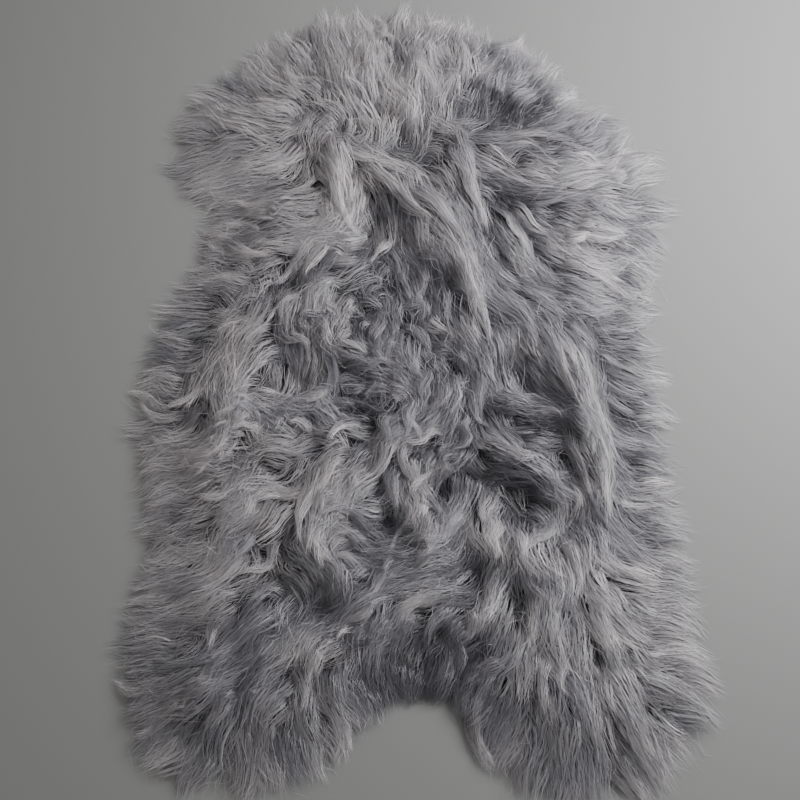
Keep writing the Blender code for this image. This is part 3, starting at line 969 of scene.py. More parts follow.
@dataclass
class StrandBuilder:
    """Splits locks into fine tapered ribbons that draw together at the tip."""

    wool: WoolMap
    seed: int
    strands: int  # in a lock
    strand_width: float
    stations: int = 7
    root_width: float = 0.55  # as a share of the widest
    least_end: float = 0.60  # the shortest strand, as a share of its lock
    most_end: float = 1.0
    narrowing: float = 0.45  # how much thinner strands are just before their tips
    flatness: float = 0.30  # a lock's thickness over its width
    under: float = 0.15  # strands sit over a lock, and this share of a half turn under it
    drop: float = 0.0  # how far the strands lie under their lock's middle
    tone: float = 0.0
    wave: float = 0.0016
    wave_length: float = 0.058
    own_wave: float = 0.0010  # a strand's waves apart from its lock's
    fray: float = 0.0045  # how far strands leave their lock towards its tip
    roll_deg: float = 34.0  # how far strands at a lock's sides turn outwards
    ruffle_deg: float = 6.0
    floor_gap: float = 0.0009
    root_gap: float = 0.0012  # how much more there is at the root
    strand_tone: float = 0.025  # how far single strands differ
    streak_tone: float = 0.065  # and streaks across a lock
    shade_span: float = 0.15  # width of wool over which the layout's shade is from 0 to 1
    root_bunch: float = 0.92  # under 1, stations stand closer towards the tip
    draw_from: float = 0.30  # share of its length from which a lock draws together
    width_spread: tuple[float, float] = (0.65, 1.35)  # shares of the strands' usual width
    taper_root: float = 0.35  # share of a strand over which it widens
    taper_from: float = 0.45  # and from which it narrows
    steepest: float = 1.2  # no steeper slope of the wool counts

    def build(self, locks: Locks) -> "Ribbons":
        """Makes the strands of locks.

        Args:
            locks: The guides.

        Returns:
            The strands as ribbons.
        """
        rng = np.random.default_rng(self.seed + len(locks.path))
        owner = np.repeat(np.arange(len(locks.path)), self.strands)
        count = len(owner)
        radius = np.sqrt(rng.uniform(0.0, 1.0, count))
        turn = rng.uniform(-self.under, 1.0 + self.under, count) * math.pi
        seat = radius[:, None] * headed(turn)
        end = rng.uniform(self.least_end, self.most_end, count)
        share = np.linspace(0.0, 1.0, self.stations) ** self.root_bunch
        s = share[None] * end[:, None]
        centre, tangent = self._along(locks.path, owner, s)
        side = unit(np.cross(tangent, UP))
        up = np.cross(side, tangent)

        half = (locks.width[owner] / 2)[:, None]
        spread = 0.75 + 0.25 * smooth_step(s / 0.3)
        left = locks.tip_share[owner][:, None]
        drawn = smooth_step((s - self.draw_from) / (1.0 - self.draw_from))
        spread = spread * (1.0 - (1.0 - left) * drawn)
        loose = rng.normal(0.0, self.fray, (count, 2))
        across = seat[:, :1] * half * spread + loose[:, :1] * s * s
        above = seat[:, 1:] * half * spread * self.flatness + 0.6 * loose[:, 1:] * s * s
        slope = self._slope(centre, side)
        above = above + seat[:, :1] * half * spread * slope
        run = np.linalg.norm(np.diff(locks.path, axis=1), axis=2).sum(axis=1)[owner]
        phase = rng.uniform(0.0, math.tau, len(locks.path))[owner]
        phase = phase + 0.9 * seat[:, 0] + 0.7 * seat[:, 1] + rng.normal(0.0, 0.55, count)
        size = self.wave * (0.3 + 1.5 * locks.curl[owner]) * rng.uniform(0.7, 1.3, count)
        beat = math.tau * s * run[:, None] / self.wave_length + phase[:, None]
        swell = size[:, None] * smooth_step(s / 0.4)
        across = across + swell * np.sin(beat)
        beat_own = math.tau * s * rng.uniform(1.0, 2.4, count)[:, None]
        sway = self.own_wave * smooth_step(s / 0.4)
        across = across + sway * np.sin(beat_own + rng.uniform(0.0, ANY_PHASE, count)[:, None])
        above = above + 0.5 * swell * np.cos(beat) - self.drop * smooth_step(s / 0.3)
        points = centre + side * across[..., None] + up * above[..., None]
        lowest = self.floor_gap + self.root_gap * (1.0 - s) + self.wool.hide_top(points)
        points[..., 2] = np.maximum(points[..., 2], lowest)

        tilt = math.radians(self.roll_deg) * seat[:, :1] - np.arctan(slope)
        tilt = tilt + np.radians(rng.normal(0.0, self.ruffle_deg, count))[:, None]
        flat_way = rolled(points, tilt)
        taper = self.root_width + (1.0 - self.root_width) * smooth_step(share / self.taper_root)
        narrowed = smooth_step((share - self.taper_from) / (1.0 - self.taper_from))
        taper = taper * (1.0 - self.narrowing * narrowed)
        width = self.strand_width * rng.uniform(*self.width_spread, count)[:, None] * taper[None]
        shade = 0.5 + self.tone + locks.shade[owner] + self._streaks(seat[:, 0], owner, rng)
        shade = np.clip(shade[:, None] + self.wool.at("tone", points), *SHADE_RANGE)
        window = self.strand_width / self.shade_span
        return Ribbons(points, flat_way, width, s, shade, window)

    def _slope(self, places: np.ndarray, side: np.ndarray) -> np.ndarray:
        """How steeply the wool's surface climbs towards the strands' sides.

        Args:
            places: The strands' places, (strands, stations, 3).
            side: The way to their sides, as unit vectors.

        Returns:
            The rise for each metre.
        """
        east = self.wool.at("slope_x", places) * side[..., 0]
        rise = east + self.wool.at("slope_y", places) * side[..., 1]
        return np.clip(rise, -self.steepest, self.steepest)

    def _streaks(self, seat: np.ndarray, owner: np.ndarray, rng: np.random.Generator) -> np.ndarray:
        """How much paler strands are for where they sit across their lock.

        Args:
            seat: The seats, from -1 to 1 across the lock.
            owner: The lock of each strand.
            rng: The source of chance.

        Returns:
            What is added to the shade of each strand.
        """
        count = int(owner.max()) + 1
        found = rng.normal(0.0, self.strand_tone, len(owner))
        for beats in (4.0, 9.0):
            phase = rng.uniform(0.0, math.tau, count)[owner]
            found = found + self.streak_tone * np.sin(beats * seat + phase)
        return found

    def _along(
        self, path: np.ndarray, owner: np.ndarray, s: np.ndarray
    ) -> tuple[np.ndarray, np.ndarray]:
        """Reads the guides' places and directions at shares of their length.

        Args:
            path: The guides, (locks, steps, 3).
            owner: Which guide each strand follows.
            s: Shares from 0 to 1, (strands, stations).

        Returns:
            The places and the unit tangents, each (strands, stations, 3).
        """
        last = path.shape[1] - 1
        cell = np.clip(s * last, 0.0, last - 1e-6)
        k = cell.astype(int)
        part = (cell - k)[..., None]
        rows = owner[:, None]
        places = path[rows, k] * (1.0 - part) + path[rows, k + 1] * part
        slopes = unit(np.gradient(path, axis=1))
        tangents = unit(slopes[rows, k] * (1.0 - part) + slopes[rows, k + 1] * part)
        return places, tangents


@dataclass
class Ribbons:
    """Strands as flat ribbons that end in a point.

    Each has a centre line, the way it is wide and its width there, how far along the
    wool its stations are, and its shade there.
    """

    points: np.ndarray
    flat_way: np.ndarray
    width: np.ndarray
    along: np.ndarray
    shade: np.ndarray
    window: float = 0.004  # share of the shade's range across one strand

    def sides(self) -> np.ndarray:
        """Each vertex's side of its ribbon: -0.5 and 0.5 by turns, and 0 at the tip."""
        return np.append(np.tile([-0.5, 0.5], self.width.shape[1] - 1), 0.0)

    def vertices(self) -> np.ndarray:
        """The two sides at every station but the last, and then the tip."""
        wide = self.flat_way * self.width[..., None]
        return self.paired(self.points) + self.sides()[:, None] * self.paired(wide)

    def layout(self) -> np.ndarray:
        """Each vertex's place in the strand layout: along the strand, and its shade."""
        shade = self.paired(self.shade) + self.window * self.sides()
        return np.stack([self.paired(self.along), shade], axis=-1)

    @staticmethod
    def paired(values: np.ndarray) -> np.ndarray:
        """The stations' values, each twice but the last."""
        return np.concatenate([np.repeat(values[:, :-1], 2, axis=1), values[:, -1:]], axis=1)

    def corners(self) -> tuple[np.ndarray, np.ndarray]:
        """One strand's faces: the vertex at each corner, and each face's first corner.

        Returns:
            The vertices, and where each face begins among them.
        """
        stations = self.width.shape[1]
        quad = [[2 * k, 2 * k + 1, 2 * k + 3, 2 * k + 2] for k in range(stations - 2)]
        tip = [2 * stations - 4, 2 * stations - 3, 2 * stations - 2]
        corner = np.array(sum(quad, []) + tip)
        return corner, np.arange(len(quad) + 1) * 4


def strand_mesh(name: str, groups: list[Ribbons]) -> bpy.types.Mesh:
    """Builds one mesh of groups of ribbons.

    Args:
        name: The mesh's name.
        groups: The ribbons.

    Returns:
        The mesh, with its strand layout.
    """
    places, loops, starts, layout = [], [], [], []
    vertex, loop = 0, 0
    for group in groups:
        corner, first = group.corners()
        spots = group.vertices()
        each = np.arange(len(spots))[:, None]
        loops.append((vertex + each * spots.shape[1] + corner[None]).ravel())
        starts.append((loop + each * len(corner) + first[None]).ravel())
        layout.append(group.layout()[:, corner].reshape(-1))
        places.append(spots.reshape(-1))
        vertex += spots.shape[0] * spots.shape[1]
        loop += len(spots) * len(corner)
    mesh = bpy.data.meshes.new(name)
    mesh.vertices.add(vertex)
    mesh.vertices.foreach_set("co", np.concatenate(places))
    mesh.loops.add(loop)
    mesh.loops.foreach_set("vertex_index", np.concatenate(loops))
    mesh.polygons.add(sum(len(part) for part in starts))
    mesh.polygons.foreach_set("loop_start", np.concatenate(starts))
    mesh.update(calc_edges=True)
    mesh.uv_layers.new(name=STRAND_UV).data.foreach_set("uv", np.concatenate(layout))
    mesh.shade_smooth()
    return mesh


class Nodes:
    """Adds shader nodes to a material's tree and links them."""

    def __init__(self, name: str) -> None:
        """Starts a material with a Principled shader.

        Args:
            name: The material's name.
        """
        self.material = bpy.data.materials.new(name)
        self.material.use_nodes = True
        self.tree = self.material.node_tree
        self.shader = self.tree.nodes["Principled BSDF"]

    def add(self, kind: str, **settings: object) -> bpy.types.Node:
        """A new node with its settings; those of sockets are given by their names.

        Args:
            kind: The node's type.
            settings: Its settings, with _ for a space.

        Returns:
            The node.
        """
        node = self.tree.nodes.new(kind)
        for key, value in settings.items():
            if hasattr(node, key):
                setattr(node, key, value)
            else:
                node.inputs[key.replace("_", " ")].default_value = value
        return node

    def link(self, source: bpy.types.NodeSocket, target: bpy.types.NodeSocket) -> None:
        """Joins an output to an input."""
        self.tree.links.new(source, target)

    def set_shader(self, **values: float | tuple[float, ...]) -> None:
        """Sets inputs of the shader, named with _ for a space."""
        for key, value in values.items():
            self.shader.inputs[key.replace("_", " ")].default_value = value

    def noise(self, place: bpy.types.NodeSocket, **settings: float) -> bpy.types.NodeSocket:
        """A noise texture's value at a place.

        Args:
            place: The place.
            settings: Its inputs, such as Scale.

        Returns:
            The value's socket.
        """
        node = self.add("ShaderNodeTexNoise", **settings)
        self.link(place, node.inputs["Vector"])
        return node.outputs["Fac"]

    def bump(self, height: bpy.types.NodeSocket, strength: float, distance: float) -> None:
        """Gives the shader a bump.

        Args:
            height: The height that makes it, from 0 to 1.
            strength: How much of it shows.
            distance: Its height in metres.
        """
        node = self.add("ShaderNodeBump", Strength=strength, Distance=distance)
        self.link(height, node.inputs["Height"])
        self.link(node.outputs["Normal"], self.shader.inputs["Normal"])

    def ramp(
        self, value: bpy.types.NodeSocket, stops: list[tuple[float, tuple[float, float, float]]]
    ) -> bpy.types.NodeSocket:
        """Turns a value into a colour by stops.

        Args:
            value: The value, from 0 to 1.
            stops: Places and their colours.

        Returns:
            The colour's socket.
        """
        node = self.add("ShaderNodeValToRGB")
        elements = node.color_ramp.elements
        while len(elements) < len(stops):
            elements.new(0.5)
        for element, (place, colour) in zip(elements, stops):
            element.position = place
            element.color = (*colour, 1.0)
        self.link(value, node.inputs["Fac"])
        return node.outputs["Color"]

    def multiply(
        self, first: bpy.types.NodeSocket, second: bpy.types.NodeSocket
    ) -> bpy.types.NodeSocket:
        """The product of two colours.

        Args:
            first: One colour.
            second: The other.

        Returns:
            The product's socket.
        """
        node = self.add("ShaderNodeMix", data_type="RGBA", blend_type="MULTIPLY")
        node.inputs[0].default_value = 1.0
        self.link(first, node.inputs[6])
        self.link(second, node.inputs[7])
        return node.outputs[2]

    def finish(self, colour: bpy.types.NodeSocket) -> bpy.types.Material:
        """Gives the shader its colour and returns the material."""
        self.link(colour, self.shader.inputs["Base Color"])
        return self.material


@dataclass(frozen=True)
class StrandFinish:
    """Dyed wool, no two strands alike: dark towards the root, partly with painted shade,
    and paler at the tip, partly with a painted highlight.
    """

    name: str = "grey_wool_strands"
    roughness: float = 0.42
    sheen: float = 0.20

    def make(self) -> bpy.types.Material:
        """Builds the material from the strands' layout: along is the strand, up its shade.

        Returns:
            The material.
        """
        nodes = Nodes(self.name)
        layout = nodes.add("ShaderNodeUVMap", uv_map=STRAND_UV).outputs["UV"]
        split = nodes.add("ShaderNodeSeparateXYZ")
        nodes.link(layout, split.inputs[0])
        # dark at the root and paler to the tip: partly the wool's own colour, partly painted shade
        # deep in the wool and a painted highlight on the tips
        along = nodes.ramp(
            split.outputs["X"],
            [
                (0.0, (0.060, 0.059, 0.066)),
                (0.32, (0.202, 0.196, 0.211)),
                (0.60, (0.378, 0.367, 0.388)),
                (0.88, (0.572, 0.553, 0.574)),
            ],
        )
        tone = nodes.ramp(
            split.outputs["Y"],
            [
                (0.0, (0.30, 0.30, 0.335)),
                (0.35, (0.785, 0.79, 0.850)),
                (0.65, (1.15, 1.14, 1.15)),
                (1.0, (1.90, 1.85, 1.82)),
            ],
        )
        stretch = nodes.add("ShaderNodeMapping", Scale=(5.0, 260.0, 1.0))
        nodes.link(layout, stretch.inputs["Vector"])
        fibres = nodes.ramp(
            nodes.noise(stretch.outputs["Vector"], Scale=1.0, Detail=2.0, Roughness=0.6),
            [(0.30, (0.86, 0.86, 0.87)), (0.50, (1.0, 1.0, 1.0)), (0.70, (1.14, 1.14, 1.13))],
        )
        nodes.set_shader(
            Roughness=self.roughness,
            Sheen_Weight=self.sheen,
            Sheen_Roughness=0.4,
            Specular_IOR_Level=0.9,
            Anisotropic=0.85,
        )
        tangent = nodes.add("ShaderNodeTangent", direction_type="UV_MAP", uv_map=STRAND_UV)
        nodes.link(tangent.outputs["Tangent"], nodes.shader.inputs["Tangent"])
        return nodes.finish(nodes.multiply(nodes.multiply(along, tone), fibres))


@dataclass(frozen=True)
class UnderwoolFinish:
    """The short dense wool between the locks, coloured dark as painted shade of its depth."""

    name: str = "dark_underwool"
    roughness: float = 0.95

    def make(self) -> bpy.types.Material:
        """Builds the material with a felted bump.

        Returns:
            The material.
        """
        nodes = Nodes(self.name)
        place = nodes.add("ShaderNodeTexCoord").outputs["Object"]
        felt = nodes.noise(place, Scale=160.0, Detail=6.0, Roughness=0.7)
        # painted shade: the felt is coloured near black for the depth at which it lies
        colour = nodes.ramp(felt, [(0.3, (0.030, 0.030, 0.034)), (0.7, (0.105, 0.104, 0.112))])
        nodes.bump(felt, strength=0.9, distance=0.003)
        nodes.set_shader(Roughness=self.roughness)
        return nodes.finish(colour)


@dataclass(frozen=True)
class SuedeFinish:
    """The flesh side of the tanned skin."""

    name: str = "pale_suede"
    roughness: float = 0.92
    sheen: float = 0.25

    def make(self) -> bpy.types.Material:
        """Builds the material: cloudy tan, with a fine nap.

        Returns:
            The material.
        """
        nodes = Nodes(self.name)
        place = nodes.add("ShaderNodeTexCoord").outputs["Object"]
        tan = nodes.ramp(
            nodes.noise(place, Scale=9.0, Detail=5.0, Roughness=0.6),
            [
                (0.30, (0.400, 0.335, 0.262)),
                (0.52, (0.480, 0.415, 0.335)),
                (0.72, (0.56, 0.50, 0.42)),
            ],
        )
        nap = nodes.noise(place, Scale=620.0, Detail=4.0, Roughness=0.7)
        fleck = nodes.ramp(nap, [(0.35, (0.86, 0.86, 0.86)), (0.65, (1.08, 1.08, 1.08))])
        nodes.bump(nap, strength=0.5, distance=0.0006)
        nodes.set_shader(Roughness=self.roughness, Sheen_Weight=self.sheen)
        return nodes.finish(nodes.multiply(tan, fleck))


def add_piece(mesh: bpy.types.Mesh, material: bpy.types.Material) -> bpy.types.Object:
    """Puts a finished mesh in the scene as a piece of the rug.

    Args:
        mesh: The mesh, which gives the piece its name.
        material: Its finish.

    Returns:
        The piece.
    """
    mesh.materials.append(material)
    piece = bpy.data.objects.new(mesh.name, mesh)
    bpy.context.scene.collection.objects.link(piece)
    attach(piece, BODY)
    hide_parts(NODE)
    LOG.info("%s: %d triangles", piece.name, len(mesh.loops) - 2 * len(mesh.polygons))
    return piece


@dataclass
class FlatSheet:
    """A closed mesh between two height fields, inside an outline.

    places are those of one side, the outline's points and then a grid inside it, and
    faces are the triangles between them.
    """

    outline: Outline
    spacing: float
    crease_deg: float = 50.0
    places: np.ndarray = field(init=False)
    faces: list[tuple[int, ...]] = field(init=False)

    def __post_init__(self) -> None:
        """Plans the places and the faces."""
        loop = self.outline.points
        grid = grid_places(loop.min(axis=0), loop.max(axis=0), self.spacing)
        grid[:, 0] += self.spacing / 2 * (np.round(grid[:, 1] / self.spacing) % 2)
        grid = grid[self.outline.nearest(grid)[0] < -0.5 * self.spacing]
        self.places = np.vstack([loop, grid])
        made = delaunay_2d_cdt([Vector(p) for p in self.places], self._rim(), [], 0, 1e-7)
        faces = [tuple(made[3][i][0] for i in face) for face in made[2]]
        middles = np.array([self.places[list(face)].mean(axis=0) for face in faces])
        self.faces = [face for face, held in zip(faces, self.outline.holds(middles)) if held]

    def _rim(self) -> list[tuple[int, int]]:
        """The pairs of neighbours on the outline."""
        count = len(self.outline.points)
        return [(i, (i + 1) % count) for i in range(count)]

    def mesh(self, name: str, low: np.ndarray, high: np.ndarray) -> bpy.types.Mesh:
        """Builds the mesh.

        Args:
            name: Its name.
            low: Heights of its underside at the places.
            high: Heights of its top at the places.

        Returns:
            The mesh.
        """
        made = bmesh.new()
        lower, upper = (
            [made.verts.new((x, y, z)) for (x, y), z in zip(self.places, heights)]
            for heights in (low, high)
        )
        for a, b, c in self.faces:
            made.faces.new((upper[a], upper[b], upper[c]))
            made.faces.new((lower[c], lower[b], lower[a]))
        for i, j in self._rim():
            made.faces.new((lower[i], lower[j], upper[j], upper[i]))
        bmesh.ops.recalc_face_normals(made, faces=made.faces)
        mesh = bpy.data.meshes.new(name)
        made.to_mesh(mesh)
        made.free()
        mesh.shade_smooth()
        mesh.set_sharp_from_angle(angle=math.radians(self.crease_deg))
        return mesh


@dataclass
class Hide:
    """The tanned skin under the wool."""

    wool: WoolMap
    thickness: float = 0.0018
    spacing: float = 0.019
    trim: float = 0.0015  # how far inside the solid's edge it is cut
    unevenness: float = 0.0012  # of the trimmed edge
    wobble_beats: float = 60.0  # of that, in a metre

    def build(self) -> bpy.types.Object:
        """Adds the hide, seated where the solid's underside is.

        Returns:
            The piece.
        """
        edge = self.wool.pelt.edge
        inset = self.trim + self.unevenness * clouds(edge.points, self.wobble_beats, level=1.0)
        outline = Outline(edge.points - edge.outward() * inset[:, None])
        sheet = FlatSheet(outline, self.spacing)
        low = self.wool.at("skin", sheet.places)
        mesh = sheet.mesh("hide", low, low + self.thickness)
        return add_piece(mesh, SuedeFinish().make())


@dataclass
class Underwool:
    """The dense short wool that the locks grow out of."""

    wool: WoolMap
    spacing: float = 0.013
    past_hide: float = 0.005
    over_hide: float = 0.0023  # its underside stands this far over the hide's
    least: float = 0.004  # its thickness at the rim
    depth_share: float = 0.58
    tuft_share: float = 0.10  # how far the depth share goes up and down
    tuft_beats: float = 70.0  # and how often in a metre
    rim_slope: float = 0.030  # it reaches its full height this far in

    def build(self) -> bpy.types.Object:
        """Adds the underwool on the hide.

        Returns:
            The piece.
        """
        edge = self.wool.pelt.edge
        outline = Outline(edge.points + edge.outward() * self.past_hide)
        sheet = FlatSheet(outline, self.spacing)
        places = sheet.places
        past = self.wool.at("past", places)
        bottom = self.wool.at("skin", places) + self.over_hide
        share = self.depth_share + self.tuft_share * clouds(places, self.tuft_beats, level=2.0)
        full = self.wool.at("depth", places) * share - bottom - self.least
        slope = smooth_step((self.past_hide - past) / self.rim_slope)
        top = bottom + self.least + np.maximum(full, 0.0) * slope
        mesh = sheet.mesh("underwool", bottom, top)
        return add_piece(mesh, UnderwoolFinish().make())


@dataclass
class Undercoat:
    """Short fine wool that stands up between the long locks."""

    wool: WoolMap
    seed: int = 23
    pitch: float = 0.0064
    length: float = 0.050
    lean_deg: float = 24.0  # how far its heading strays from the comb
    bend_deg: float = 35.0
    tilt_deg: float = 40.0
    strand_width: float = 0.0008
    taper: tuple[float, ...] = (0.8, 1.0, 1.0, 0.8, 0.0)  # one share of it a station
    reach_share: float = 0.62  # of its length, over the floor
    height_share: float = 0.66
    climb_share: float = 0.75  # of its length in which it climbs
    stand_share: float = 0.85  # of its length, over the hide at most
    along_share: float = 0.40  # its tips are coloured like this place along a long strand, in its painted root shade
    shade: float = 0.34
    shade_spread: float = 0.08
    bare_cover: float = 0.45  # it grows thickest where the locks' cover is below this
    least_odds: float = 0.06  # and this thinly where they cover it well

    def build(self) -> bpy.types.Object:
        """Adds the undercoat.

        Returns:
            The piece.
        """
        rng, steps = np.random.default_rng(self.seed), len(self.taper)
        edge = self.wool.pelt.edge.points
        roots = grid_places(edge.min(axis=0), edge.max(axis=0), self.pitch)
        roots = roots + rng.uniform(-0.5, 0.5, roots.shape) * self.pitch
        roots = roots[self.wool.at("past", roots) < -0.002]
        bare = smooth_step(1.5 - self.wool.at("cover", roots) / self.bare_cover / 2.0)
        odds = self.least_odds + (1.0 - self.least_odds) * bare
        roots = roots[rng.uniform(0.0, 1.0, len(roots)) < odds]
        count = len(roots)
        length = self.length * rng.uniform(0.65, 1.25, count)
        angle = self.wool.heading(roots) + np.radians(rng.normal(0.0, self.lean_deg, count))
        bend = np.radians(rng.normal(0.0, self.bend_deg, count))
        s = np.linspace(0.0, 1.0, steps)
        stride = (length * self.reach_share / (steps - 1))[:, None]
        points = np.empty((count, steps, 3))
        points[:, 0, :2] = roots
        for k in range(1, steps):
            points[:, k, :2] = points[:, k - 1, :2] + stride * headed(angle + bend * s[k])
        skin = self.wool.hide_top(points)
        depth = self.wool.at("depth", points)
        top = np.minimum(depth * self.height_share, skin + self.stand_share * length[:, None])
        climb = np.sin(0.5 * math.pi * np.minimum(s / self.climb_share, 1.0))[None]
        points[..., 2] = np.maximum(skin + np.maximum(top - skin, 0.001) * climb, 0.002)
        tilt = np.radians(rng.uniform(-self.tilt_deg, self.tilt_deg, count))[:, None]
        width = self.strand_width * rng.uniform(0.7, 1.3, count)[:, None] * np.array(self.taper)
        shade = rng.normal(self.shade, self.shade_spread, count)[:, None]
        shade = np.clip(shade + self.wool.at("tone", points), *SHADE_RANGE)
        along = np.broadcast_to(self.along_share * s, width.shape)
        ribbons = Ribbons(points, rolled(points, tilt), width, along, shade)
        mesh = strand_mesh("undercoat", [ribbons])
        return add_piece(mesh, StrandFinish().make())


@dataclass
class Fleece:
    """All the long wool, in one piece for each part of the rug."""

    wool: WoolMap
    parts: tuple[str, ...] = ("legs", "haunches", "loin", "back", "shoulders", "neck")
    flow_pitch: float = 0.0245  # the pitches say how far apart roots are
    curl_pitch: float = 0.034
    stray_pitch: float = 0.0145
    fringe_pitch: float = 0.0100
    most_filling: int = 150
    filling_gap: float = 0.017
    wavy_curl: float = 0.46  # from this curl of the comb on, locks count as wavy
    fringe_zone: float = 0.030  # how far inside the hide's edge loose hairs fringe it
    # where the wool curls, the flow is painted darker and the curls paler: painted shade between
    # the crests and a painted highlight on them
    flow: LockKind = LockKind(
        length=0.135, length_spread=0.20, width=0.046, tip_share=0.50,
        swing=15.0, swing_length=0.100, stray=10.0, start=0.0, layer=(0.86, 1.0),
        tone_spread=0.19, curl_tone=-0.10,
    )
    filling: LockKind = LockKind(
        length=0.090, length_spread=0.15, width=0.034, tip_share=0.45,
        swing=14.0, swing_length=0.090, stray=10.0, start=0.25, layer=(0.80, 0.95),
        tone=-0.06,
    )
    curls: LockKind = LockKind(
        length=0.120, length_spread=0.25, width=0.021, tip_share=0.22,
        swing=30.0, swing_length=0.080, stray=16.0, start=0.10, layer=(0.97, 1.03),
        heave=0.004, lift=0.0025, tone=0.12, tone_spread=0.29,
    )
    strays: LockKind = LockKind(
        length=0.115, length_spread=0.35, width=0.004, tip_share=0.5,
        swing=34.0, swing_length=0.085, stray=22.0, start=0.2, layer=(0.98, 1.06),
        heave=0.003, lift=0.0020, tone=0.06, tone_spread=0.10,
    )
    tresses: LockKind = LockKind(
        length=0.135, length_spread=0.0, width=0.020, tip_share=0.20,
        swing=0.0, swing_length=0.1, stray=0.0, start=0.25, layer=(0.98, 1.02),
        heave=0.001, lift=0.0035, tone_spread=0.04,
    )

    def build(self) -> list[bpy.types.Object]:
        """Adds the locks.

        Returns:
            The pieces, from the hind legs to the neck.
        """
        groups = self._groups(LockPlanner(self.wool))
        LOG.info("locks: %s", [len(locks.path) for locks, _ in groups])
        finish = StrandFinish().make()
        limits = self._limits(groups[0][0])
        pieces = []
        for part, low, high in zip(self.parts, limits, limits[1:]):
            ribbons = []
            for locks, builder in groups:
                foot = locks.path[:, 0, 1]
                chosen = (foot >= low) & (foot < high)
                if chosen.any():
                    ribbons.append(builder.build(locks.part(chosen)))
            pieces.append(add_piece(strand_mesh(f"wool_{part}", ribbons), finish))
        return pieces

    def _groups(self, planner: LockPlanner) -> list[tuple[Locks, StrandBuilder]]:
        """Plants every kind of lock, and says how its strands are made.

        Args:
            planner: Plants the locks, and draws by chance in the order that it is asked.

        Returns:
            The kinds: the locks' bodies first, then their strands.
        """
        flow = planner.grow(self.flow, planner.roots(self.flow_pitch))
        planner.measure_cover(flow)
        filling = planner.cross_over(self.filling, self.most_filling, self.filling_gap)
        curls = planner.grow(self.curls, planner.curly(planner.roots(self.curl_pitch)))
        for tress in TRESSES:
            curls = curls + planner.follow(tress, self.tresses)
        strays = planner.grow(self.strays, planner.roots(self.stray_pitch))
        fringe = planner.roots(self.fringe_pitch)
        fringe = fringe[self.wool.at("past", fringe) > -self.fringe_zone]
        fringe = planner.grow(self.strays, fringe)
        body = StrandBuilder(
            self.wool, seed=8, strands=9, strand_width=0.0030, stations=6,
            least_end=0.65, most_end=0.90, narrowing=0.75, drop=0.0020, tone=-0.04,
            fray=0.001, ruffle_deg=4.0,
        )
        fine = StrandBuilder(self.wool, seed=4, strands=82, strand_width=0.00043, stations=5)
        wavy = StrandBuilder(self.wool, seed=5, strands=60, strand_width=0.00050)
        filler = StrandBuilder(self.wool, seed=6, strands=36, strand_width=0.00052, stations=6)
        curled = StrandBuilder(
            self.wool, seed=7, strands=46, strand_width=0.00050, stations=8,
            least_end=0.70, fray=0.0015, wave=0.0020,
        )
        hair = StrandBuilder(
            self.wool, seed=9, strands=1, strand_width=0.00042, stations=8,
            least_end=0.8, wave=0.004, own_wave=0.003, ruffle_deg=20.0,
        )
        rim_hair = replace(hair, seed=3, strand_width=0.00036, own_wave=0.004)
        straight = flow.curl < self.wavy_curl
        return [
            (flow, body),
            (flow.part(straight), fine),
            (flow.part(~straight), wavy),
            (filling, filler),
            (curls, curled),
            (strays, hair),
            (fringe, rim_hair),
        ]

    def _limits(self, locks: Locks) -> np.ndarray:
        """Where one part ends and the next begins along the rug, with as many locks each.

        Args:
            locks: The locks that are shared out.

        Returns:
            The limits, one more than there are parts.
        """
        shares = np.linspace(0.0, 1.0, len(self.parts) + 1)
        limits = np.quantile(locks.path[:, 0, 1], shares)
        limits[0], limits[-1] = -1.0, 1.0
        return limits


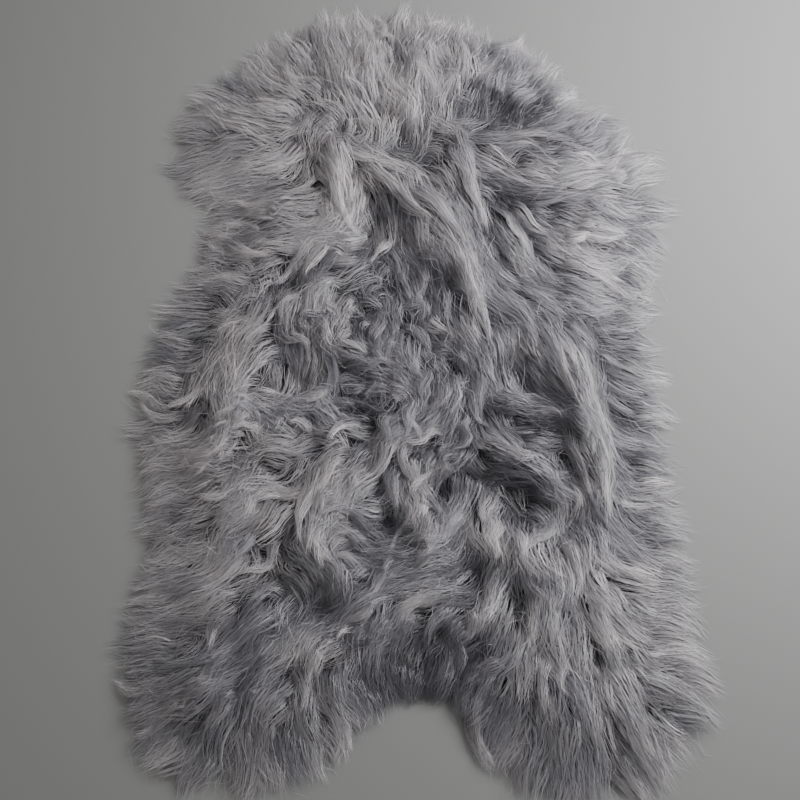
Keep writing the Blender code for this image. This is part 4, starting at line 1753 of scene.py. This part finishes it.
@dataclass(frozen=True)
class Studio:
    """A plain floor and soft lights."""

    floor_grey: float = 0.34
    key_place: tuple[float, float, float] = (0.95, 0.42, 0.80)
    key_aim: tuple[float, float, float] = (0.30, 0.40, 0.0)
    key_size: float = 0.70
    key_watts: float = 22.0
    sky: float = 0.26
    sky_tint: tuple[float, float, float] = (1.0, 0.985, 0.96)
    floor_half: float = 40.0
    floor_drop: float = 0.0005  # the floor lies this far under the rug
    floor_roughness: float = 0.85

    def build(self) -> None:
        """Adds the floor, the lights and the sky."""
        mesh = bpy.data.meshes.new("floor")
        half = self.floor_half
        corners = [(-half, -half, 0.0), (half, -half, 0.0), (half, half, 0.0), (-half, half, 0.0)]
        mesh.from_pydata(corners, [], [(0, 1, 2, 3)])
        floor = bpy.data.objects.new("floor", mesh)
        floor.location.z = -self.floor_drop
        bpy.context.scene.collection.objects.link(floor)
        nodes = Nodes("floor_grey")
        nodes.set_shader(Base_Color=(*[self.floor_grey] * 3, 1.0), Roughness=self.floor_roughness)
        mesh.materials.append(nodes.material)
        self.light()
        world = bpy.data.worlds.new("studio")
        world.use_nodes = True
        world.node_tree.nodes["Background"].inputs["Color"].default_value = (*self.sky_tint, 1.0)
        world.node_tree.nodes["Background"].inputs["Strength"].default_value = self.sky
        bpy.context.scene.world = world

    def light(self) -> None:
        """Adds the key light: a square one, near the rug's right shoulder."""
        data = bpy.data.lights.new("key", "AREA")
        data.size = self.key_size
        data.energy = self.key_watts
        lamp = bpy.data.objects.new("key", data)
        lamp.location = self.key_place
        ahead = Vector(self.key_aim) - Vector(self.key_place)
        lamp.rotation_euler = ahead.to_track_quat("-Z", "Y").to_euler()
        bpy.context.scene.collection.objects.link(lamp)


def main() -> None:
    """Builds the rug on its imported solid, then the studio round it."""
    logging.basicConfig(level=logging.INFO, format="%(name)s: %(message)s")
    view = PhotoView()
    view.make()
    Studio().build()
    wool = WoolMap(PackedPelt(), view)
    hide = Hide(wool).build()
    underwool = Underwool(wool).build()
    pieces = [*Fleece(wool).build(), Undercoat(wool).build()]
    edge = wool.pelt.edge
    area = abs(edge.turned()) / 2
    width, length = edge.points.max(axis=0) - edge.points.min(axis=0)


if __name__ == "__main__":
    main()
